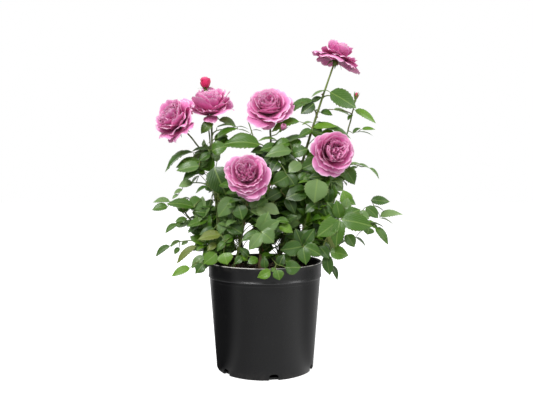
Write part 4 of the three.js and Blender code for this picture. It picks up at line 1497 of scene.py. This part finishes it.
    def clothe(self, limb, tints, low, high):
        """Leaves all round a limb from one height to another, where masses of leaves are before or behind."""
        dice = self.dice
        line, _ = LIMBS[limb]
        around = dice.uniform(0.0, math.tau)
        for k in range(2, len(line)):
            place = Vector(line[k])
            if not low < place.z < high:
                continue
            around += GOLDEN_TURN
            out = Vector((math.cos(around), max(math.sin(around), -0.30 - 0.5 * math.sin(around)),
                          dice.uniform(0.0, 0.6))).normalized()
            aim = place + out * dice.uniform(58.0, 98.0) * MM
            x, z = shown_spot(aim)
            if not any(within(x, z, *spot) for spot in self.mass_spots):
                continue
            heading = Vector(line[k] - line[k - 1]).normalized()
            self.whole_leaf(place, heading, aim, dice.choice([1, 2, 2]), dice.uniform(32, 43) * MM,
                            dice.uniform(0.2, 0.6), dice.choice(tints))

    def bough_by(self, limb, middle, half):
        """The stretch of a limb by a mass, as places and headings, with a twig into it if need be."""
        line, girths = LIMBS[limb]
        bough = [(Vector(line[k]), Vector(line[k] - line[k - 1]).normalized())
                 for k in range(1, len(line)) if (Vector(line[k]) - middle).length < BOUGH_REACH]
        if bough and min(how_far_out(place, middle, half) for place, _ in bough) <= NEAR_ENOUGH:
            return bough
        number, gap = nearest_on(line, middle)
        number = max(1, number - int(gap * 0.5 / STEP))
        root = Vector(line[number])
        heading = Vector(line[number] - line[number - 1]).normalized()
        goal = middle + (middle - root).normalized() * half.length * 0.12
        twig = self.twig(root, heading, goal, min(girths[number] * 0.7, 2.0 * MM))
        return bough + [(twig[k], (twig[k] - twig[k - 1]).normalized()) for k in range(1, len(twig))
                        if how_far_out(twig[k], middle, half) < 1.3 or k > len(twig) // 2]

    def lay_shown(self, laid, middle, half, wood):
        """The leaflets laid one by one in a mass, the ones nearest to the wood first."""

        def spot(across, up, depth):
            """A place in the box: across and up as seen at its middle, depth along the sight."""
            place = Vector((middle.x + across * half.x, middle.y, middle.z + up * half.z))
            return seen_at(place, middle.y + depth * half.y)

        shown = [(spot(x, z, depth + 0.1), spot(tip_x, tip_z, depth - 0.1), facing, wide, tint)
                 for x, z, tip_x, tip_z, depth, facing, wide, tint in laid]
        shown.sort(key=lambda leaflet: min((place - leaflet[0]).length for place in wood))
        for foot, tip, facing, wide, tint in shown:
            self.lay(foot, tip, facing, wide, tint, wood)

    def aims(self, name, fill, laid, middle, half):
        """Where the leaves that fill a mass point, with their pairs, size and facing."""
        dice = self.dice
        outer = any(word in name for word in OUTER_WORDS)
        aims = []
        for number in range(fill):
            rise = 1 - 2 * (number + dice.random()) / fill
            around = number * GOLDEN_TURN + dice.uniform(-0.4, 0.4)
            ring = math.sqrt(max(0.0, 1 - rise * rise))
            way = [ring * math.cos(around), ring * math.sin(around), rise]
            if laid:
                way[1] = abs(way[1]) if outer else 0.75 * abs(way[1]) - 0.25 * (1 - abs(way[1]))
            depth = dice.uniform(0.72, 0.98)
            if name.startswith("back"):
                depth = dice.uniform(0.40, 1.02)
                way[1] *= 1.6 if way[1] < 0.0 else 1.0
            aim = Vector([middle[k] + way[k] * half[k] * depth for k in range(3)])
            aims.append((aim, dice.choice([1, 2, 2, 3]), dice.uniform(34, 46) * MM, dice.uniform(0.2, 0.6)))
        return aims

    def grow_to(self, aim, pairs, size, facing, tints, bough, middle, half):
        """A leaf from the bough to its aim, on a twig of its own where the aim is far."""
        dice = self.dice
        wanted = size * (1.45 + 0.55 * pairs)

        def cost(entry):
            place, heading = entry
            span = aim - place
            slant = span.normalized().dot(heading) if span.length > 0.001 else -1
            return abs(span.length - wanted) + 0.03 * max(0.0, 0.15 - slant)

        place, heading = min(bough, key=cost)
        span = aim - place
        while pairs and span.length < size * (1.25 + 0.42 * pairs):
            pairs -= 1
        tint = dice.choice(tints)
        if span.length > wanted * 1.3:
            goal = aim - span.normalized() * wanted * 0.9 - UP * 0.004
            side = self.twig(place, heading, goal, 1.35 * MM)
            heading = (side[-1] - side[-2]).normalized()
            place = side[-1]
            if dice.random() < 0.7 and len(side) > 5:
                half_way = side[len(side) // 2]
                swing = Matrix.Rotation(dice.uniform(0.7, 1.2) * dice.choice((-1, 1)), 3, "Z")
                other = half_way + (swing @ span.normalized()) * wanted * 0.8
                if how_far_out(other, middle, half) < 1.1:
                    self.whole_leaf(half_way, heading, other, pairs, size * 0.9, facing, tint)
        self.whole_leaf(place, heading, aim, pairs, size, facing, tint)

    def dress(self, name, limb, tints, fill, laid):
        """The leaflets laid one by one in a mass, then the leaves that fill it."""
        low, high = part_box("foliage_" + name)
        middle = (low + high) / 2
        half = (high - low) / 2
        bough = self.bough_by(limb, middle, half)
        self.lay_shown(laid, middle, half, [place for place, _ in bough])
        for aim, pairs, size, facing in self.aims(name, fill, laid, middle, half):
            self.grow_to(aim, pairs, size, facing, tints.split(), bough, middle, half)


crown = Crown(7)
crown.twigs.append((np.array(bud_stalk), np.array([1.4, 1.3, 1.3]) * MM))
stub_root, stub_goal = Vector(LIMBS["centre_rose_stem"][0][2]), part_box("foliage_long_leaf")[1]
stub_goal = Vector((stub_goal.x - 30 * MM, stub_goal.y - 6 * MM, stub_goal.z + 36 * MM))
crown.twig(stub_root, UP, stub_goal, 2.0 * MM)
for name, (limb, tints, fill, laid) in MASSES.items():
    crown.dress(name, limb, tints, fill, laid)
for limb, low_end, high_end in CLOTHED:
    crown.clothe(limb, ("mid", "deep", "mid", "sage"), low_end * MM, high_end * MM)

TINT_SLOTS = {"deep": "foliage_deep", "mid": "foliage", "sage": "foliage", "fresh": "foliage_fresh",
              "olive": "foliage"}


def shown_tint(name):
    return MASSES[name][1].split()[0]


for tint, laid in crown.leaflets.items():
    start = plain_mesh("leaf_spots_" + tint, [leaflet[0] for leaflet in laid], [])
    carry(start, "turn", "QUATERNION", [number for leaflet in laid for number in leaflet[1]])
    carry(start, "reach", "FLOAT_VECTOR", [number for leaflet in laid for number in leaflet[2]])
    carry(start, "shape", "INT", [leaflet[3] for leaflet in laid])
    carry(start, "tone", "FLOAT", [leaflet[4] for leaflet in laid])
    leaves = made_by(DEALT, "leaves_" + tint, start, Shapes=BLADES, Finish=FINISHES["leaf_" + tint])
    dressed = ["foliage_" + name for name in MASSES if shown_tint(name) == tint]
    hand_in(leaves, TINT_SLOTS[tint], *dressed)

hand_in(grown_stems("leaf_twigs", crown.twigs, 6, 0.3, 160.0, "young_stem"), "green_cane")
hand_in(grown_stems("leaf_stalks", crown.stalks, 5, 0.1, 200.0, "young_stem"), "green_cane")


# ---- canes as they show ----

cane_lines = []
for count, name in enumerate([*CANES, *SHOOTS]):
    line, girth = with_joints(*LIMBS[name], 30 + count)
    cane_lines.append(sunk_foot(line, girth) if name in CANES else (line, girth))
canes = grown_stems("green_canes", cane_lines, 12, 0.5, 150.0, "green_cane")
hand_in(canes, "green_cane", *CANES, *SHOOTS)

trunk_line = sunk_foot(*with_joints(*LIMBS["main_stem"], 50))
hand_in(grown_stems("main_stem_bark", [trunk_line], 18, 1.8, 110.0, "old_wood"), "old_wood", "main_stem")


def thorn_shape():
    """A prickle: a broad foot on the skin and a point that hooks down."""
    rings = [(0.42, 0.95, 0.0, 0.0), (0.20, 0.50, 0.35, -0.10), (0.09, 0.20, 0.70, -0.28)]
    sides = 6
    points = []
    for across, along, rise, drop in rings:
        for k in range(sides):
            angle = math.tau * k / sides
            points.append((across * math.cos(angle), along * math.sin(angle) + drop, rise))
    points.append((0.0, -0.62, 1.0))
    faces = bridged(0, sides, 2)
    for k in range(sides):
        faces.append((2 * sides + k, 2 * sides + (k + 1) % sides, 3 * sides))
    faces.append(tuple(reversed(range(sides))))
    return plain_mesh("prickle", points, faces)


THORNS = shape_box("thorn", [thorn_shape()])
prickles = scattered("prickles", canes.data.copy(), THORNS, 1300.0, 2.0, 4.2, 0.0, 7, "prickle")
hand_in(prickles, "green_cane")


# ---- pot ----

POT_LOW, POT_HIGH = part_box("pot")
RIM = (POT_HIGH[0] - POT_LOW[0]) / 2
TOP = POT_HIGH[2]
FOOT = max(math.hypot(v.co.x, v.co.y) for v in nodes["pot"].data.vertices if v.co.z < 1.0 * MM)
BAND = 35.0 * MM
WALL = 2.4 * MM
SHARP_BEND = math.radians(42.0)
TURNED_SIDES = 144
NOTCHES = 6
FIRST_NOTCH = math.radians(-80.0)
# One drain notch, across and up in mm.
NOTCH_ARCH = [(-11, -6), (11, -6), (11, 7.5), (10, 11), (7.4, 13.4), (3.6, 14.4), (-3.6, 14.4), (-7.4, 13.4),
              (-10, 11), (-11, 7.5)]


def pot_profile():
    """Radius and height, from the middle of the underside up the wall, over the lip and down inside."""
    neck = TOP - BAND
    wall = RIM - 3.4 * MM
    line = [(0.0, 1.6 * MM)]
    for out, rise in ((-16, 1.6), (-12, 0.0), (-3.0, 0.0), (-0.8, 0.9), (0.1, 3.2)):
        line.append((FOOT + out * MM, rise * MM))
    for k in range(1, 12):
        share = k / 12
        line.append((FOOT + (wall - FOOT) * share, 3.2 * MM + (neck - 6 * MM) * share))
    line += [(wall - 0.1 * MM, neck - 3.0 * MM), (wall + 0.5 * MM, neck - 1.4 * MM)]
    for inset, above in ((1.6, -0.6), (0.7, 0.4), (0.8, 2.2), (1.6, 3.2), (1.5, 10), (1.2, 20)):
        line.append((RIM - inset * MM, neck + above * MM))
    for inset, below in ((0.9, 6.0), (0.3, 4.6), (0.0, 3.0), (0.1, 1.4), (0.9, 0.3), (2.2, 0.0), (3.4, 0.5),
                         (3.9, 2.0), (4.0, 12), (4.4, 30)):
        line.append((RIM - inset * MM, TOP - below * MM))
    return line + [(wall - WALL - 1.0 * MM, neck - 8 * MM), (FOOT - WALL, 12 * MM),
                   (FOOT - WALL - 5 * MM, 5.0 * MM), (0.0, 4.6 * MM)]


def turned_pot():
    """The profile turned round, very slightly out of round."""
    profile = pot_profile()
    points = []
    for radius, rise in profile[1:-1]:
        for k in range(TURNED_SIDES):
            angle = math.tau * k / TURNED_SIDES
            waver = 1.0 + 0.0022 * math.sin(angle * 2 + 0.7) * min(1.0, rise / 0.05) * (0.4 + rise * 2.2)
            waver += 0.0007 * math.sin(angle * 5 + rise * 30.0)
            points.append((radius * waver * math.cos(angle), radius * waver * math.sin(angle), rise))
    rows = len(profile) - 3
    faces = bridged(0, TURNED_SIDES, rows)
    last = rows * TURNED_SIDES
    under, inside = len(points), len(points) + 1
    points += [(0.0, 0.0, profile[0][1]), (0.0, 0.0, profile[-1][1])]
    for k in range(TURNED_SIDES):
        step = (k + 1) % TURNED_SIDES
        faces.append((under, step, k))
        faces.append((inside, last + k, last + step))
    return plain_mesh("nursery_pot", points, faces)


def notch_cutter():
    """Arched drain notches through the foot, all in one mesh."""
    points, faces = [], []
    size = len(NOTCH_ARCH)
    for number in range(NOTCHES):
        spin = Matrix.Rotation(FIRST_NOTCH + number * math.tau / NOTCHES, 3, "Z")
        start = len(points)
        for reach in (FOOT - 9 * MM, FOOT + 8 * MM):
            for across, rise in NOTCH_ARCH:
                points.append(tuple(spin @ Vector((reach, across * MM, rise * MM))))
        faces.append(tuple(range(start + size - 1, start - 1, -1)))
        faces.append(tuple(range(start + size, start + 2 * size)))
        faces += bridged(start, size, 1)
    return plain_mesh("notch_cutter", points, faces)


def make_pot():
    whole = add_object("whole_pot", turned_pot())
    cutter = add_object("notch_cutter", notch_cutter())
    cut = whole.modifiers.new("notches", "BOOLEAN")
    cut.object = cutter
    cut.operation = "DIFFERENCE"
    cut.solver = "EXACT"
    result = bpy.data.meshes.new_from_object(whole.evaluated_get(bpy.context.evaluated_depsgraph_get()))
    for spent in (whole, cutter):
        bpy.data.objects.remove(spent)
    pot = smooth_piece("nursery_pot", result, FINISHES["pot"])
    result.set_sharp_from_angle(angle=SHARP_BEND)
    hand_in(pot, "pot", "pot")


make_pot()


# ---- potting mix ----

MIX_RINGS = 34
MIX_SIDES = 96
# In m: how high the mix is mounded at the stem, how high its crumbs stand, and how deep its skirt goes.
MOUND = 0.004
CRUMBS = 0.0030
SKIRT = 0.012


def mix_surface():
    """The crumbly top of the mix, mounded at the stem and lower by the wall."""
    low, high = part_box("potting_mix")
    radius = (high[0] - low[0]) / 2 + 0.2 * MM
    level = high[2]
    points = [(0.0, 0.0, level + MOUND)]
    for ring in range(1, MIX_RINGS + 1):
        share = ring / MIX_RINGS
        for k in range(MIX_SIDES):
            angle = math.tau * k / MIX_SIDES
            x, y = radius * share * math.cos(angle), radius * share * math.sin(angle)
            lumps = noise.fractal(Vector((x, y, 0.3)) * 55.0, 0.8, 2.1, 5)
            fade = min(1.0, (1 - share) * 6)
            points.append((x, y, level + MOUND * (1 - share) ** 2 + lumps * CRUMBS * (0.3 + 0.7 * fade)))
    points += [(x * 0.985, y * 0.985, level - SKIRT) for x, y, _ in points[-MIX_SIDES:]]
    faces = [(0, 1 + k, 1 + (k + 1) % MIX_SIDES) for k in range(MIX_SIDES)]
    faces += bridged(1, MIX_SIDES, MIX_RINGS, inward=True)
    faces.append(tuple(reversed(range(len(points) - MIX_SIDES, len(points)))))
    return plain_mesh("potting_mix_top", points, faces)


def lump(name, stretch, seed):
    """A broken crumb, one unit across."""
    shape = bmesh.new()
    bmesh.ops.create_icosphere(shape, subdivisions=1, radius=0.5)
    dice = random.Random(seed)
    for vertex in shape.verts:
        vertex.co = Vector([vertex.co[k] * stretch[k] * dice.uniform(0.72, 1.25) for k in range(3)])
    mesh = bpy.data.meshes.new(name)
    shape.to_mesh(mesh)
    shape.free()
    return mesh


mix_top = smooth_piece("potting_mix_top", mix_surface(), FINISHES["mix"])
hand_in(mix_top, "potting_mix", "potting_mix")

CHIPS = shape_box("chip", [lump(f"chip_{k}", (1.5, 0.8, 0.32), 60 + k) for k in range(3)])
GRIT = shape_box("grit", [lump(f"grit_{k}", (1.0, 0.9, 0.8), 70 + k) for k in range(2)])


def top_only(mesh, name):
    """A copy of the mix's upper skin, clear of the wall, for things to lie on."""
    shape = bmesh.new()
    shape.from_mesh(mesh)
    radius = max(math.hypot(v.co.x, v.co.y) for v in shape.verts)
    away = [face for face in shape.faces if face.normal.z < 0.3
            or math.hypot(*face.calc_center_median()[:2]) > radius * 0.94]
    bmesh.ops.delete(shape, geom=away, context="FACES")
    copy = bpy.data.meshes.new(name)
    shape.to_mesh(copy)
    shape.free()
    return copy


hand_in(scattered("bark_chips", top_only(mix_top.data, "chip_bed"), CHIPS, 22000.0, 3.0, 9.0, 0.7, 3, "chip"),
        "potting_mix")
hand_in(scattered("perlite_grit", top_only(mix_top.data, "grit_bed"), GRIT, 6000.0, 1.4, 3.4, 3.0, 4, "grit"),
        "potting_mix")


# ---- studio ----


# What the studio shows to shiny skins, by bearing: 0 behind, 0.25 left, 0.5 front, 0.75 right. A dark
# flag stands at the left, a bright tall panel at the right, and pale walls behind.
CARDS = [(0.0, 0.95), (0.10, 0.70), (0.135, 0.05), (0.303, 0.01), (0.352, 0.60), (0.38, 0.38), (0.45, 0.52),
         (0.58, 0.66), (0.645, 0.88), (0.685, 1.0), (0.715, 0.60), (0.750, 0.36), (0.82, 0.42), (1.0, 0.95)]


def bearing_ramp(owner, place):
    """The card seen along a direction, from the bearing of its flat part, and the direction's rise."""
    across, ahead, rise = owner.parts(place)
    share = across.worked("ARCTAN2", across, ahead * -1.0) * (1.0 / math.tau) + 0.5
    return owner.ramp(share, [(bearing, (grey, grey, grey, 1.0)) for bearing, grey in CARDS]), rise


def both_ways(owner, unseen, seen, end):
    """The camera sees a clean pale studio; shiny skins see its cards."""
    camera = owner.node("ShaderNodeLightPath", {}, {}).outputs["Is Camera Ray"]
    both = owner.node("ShaderNodeMixShader", {}, {0: camera, 1: unseen.outputs[0], 2: seen.outputs[0]})
    owner.feed(owner.tree.nodes[end].inputs["Surface"], both.outputs[0])


# The floor reaches this far each way from the middle, in m.
FLOOR_REACH = 9


def set_floor():
    finish = Finish("studio_floor", Roughness=0.9, Specular_IOR_Level=0.0)
    grey = finish.mix(finish.cloud(1.5, 2.0) * 0.2, (0.72, 0.72, 0.72, 1.0), (0.70, 0.70, 0.70, 1.0))
    finish.set(Base_Color=grey, Emission_Color=WHITE, Emission_Strength=0.62)
    cards, _ = bearing_ramp(finish, finish.place())
    unseen = finish.node("ShaderNodeEmission", {}, {"Color": cards, "Strength": 0.85})
    both_ways(finish, unseen, finish.shader, "Material Output")
    corners = [(x * FLOOR_REACH, y * FLOOR_REACH, 0) for x, y in ((-1, -1), (1, -1), (1, 1), (-1, 1))]
    mesh = plain_mesh("studio_floor", corners, [(0, 1, 2, 3)])
    mesh.materials.append(finish.material)
    add_object("studio_floor", mesh)


def soft_light(name, place, aim, size, watts):
    lamp = bpy.data.lights.new(name, "AREA")
    lamp.shape = "RECTANGLE"
    lamp.size, lamp.size_y = size
    lamp.energy = watts
    made = add_object(name, lamp)
    made.location = place
    made.rotation_euler = (Vector(aim) - Vector(place)).to_track_quat("-Z", "Y").to_euler()


def set_light():
    scene.world = bpy.data.worlds.new("studio")
    scene.world.use_nodes = True
    sky = Nodes(scene.world.node_tree)
    place = sky.node("ShaderNodeTexCoord", {}, {}).outputs["Generated"]
    cards, rise = bearing_ramp(sky, place)
    dome = sky.mix(rise.fade(0.30, 0.75), cards, (0.75, 0.75, 0.75, 1.0))
    unseen = sky.tree.nodes["Background"]
    sky.feed(unseen.inputs["Color"], dome)
    sky.feed(unseen.inputs["Strength"], 1.05)
    both_ways(sky, unseen, sky.node("ShaderNodeBackground", {}, {"Color": WHITE}), "World Output")
    soft_light("key", (-1.3, -2.2, 2.4), (0.0, 0.0, 0.4), (1.3, 1.3), 84.0)
    soft_light("right_panel", (2.0, -0.9, 1.6), (0.0, 0.0, 0.4), (0.9, 1.6), 18.0)
    soft_light("back_left", (-1.8, 1.6, 1.8), (0.0, 0.0, 0.5), (1.2, 1.6), 16.0)
    soft_light("back_right", (1.8, 1.7, 1.8), (0.0, 0.0, 0.5), (1.2, 1.6), 18.0)
    scene.view_settings.view_transform = "Standard"


set_floor()
set_light()
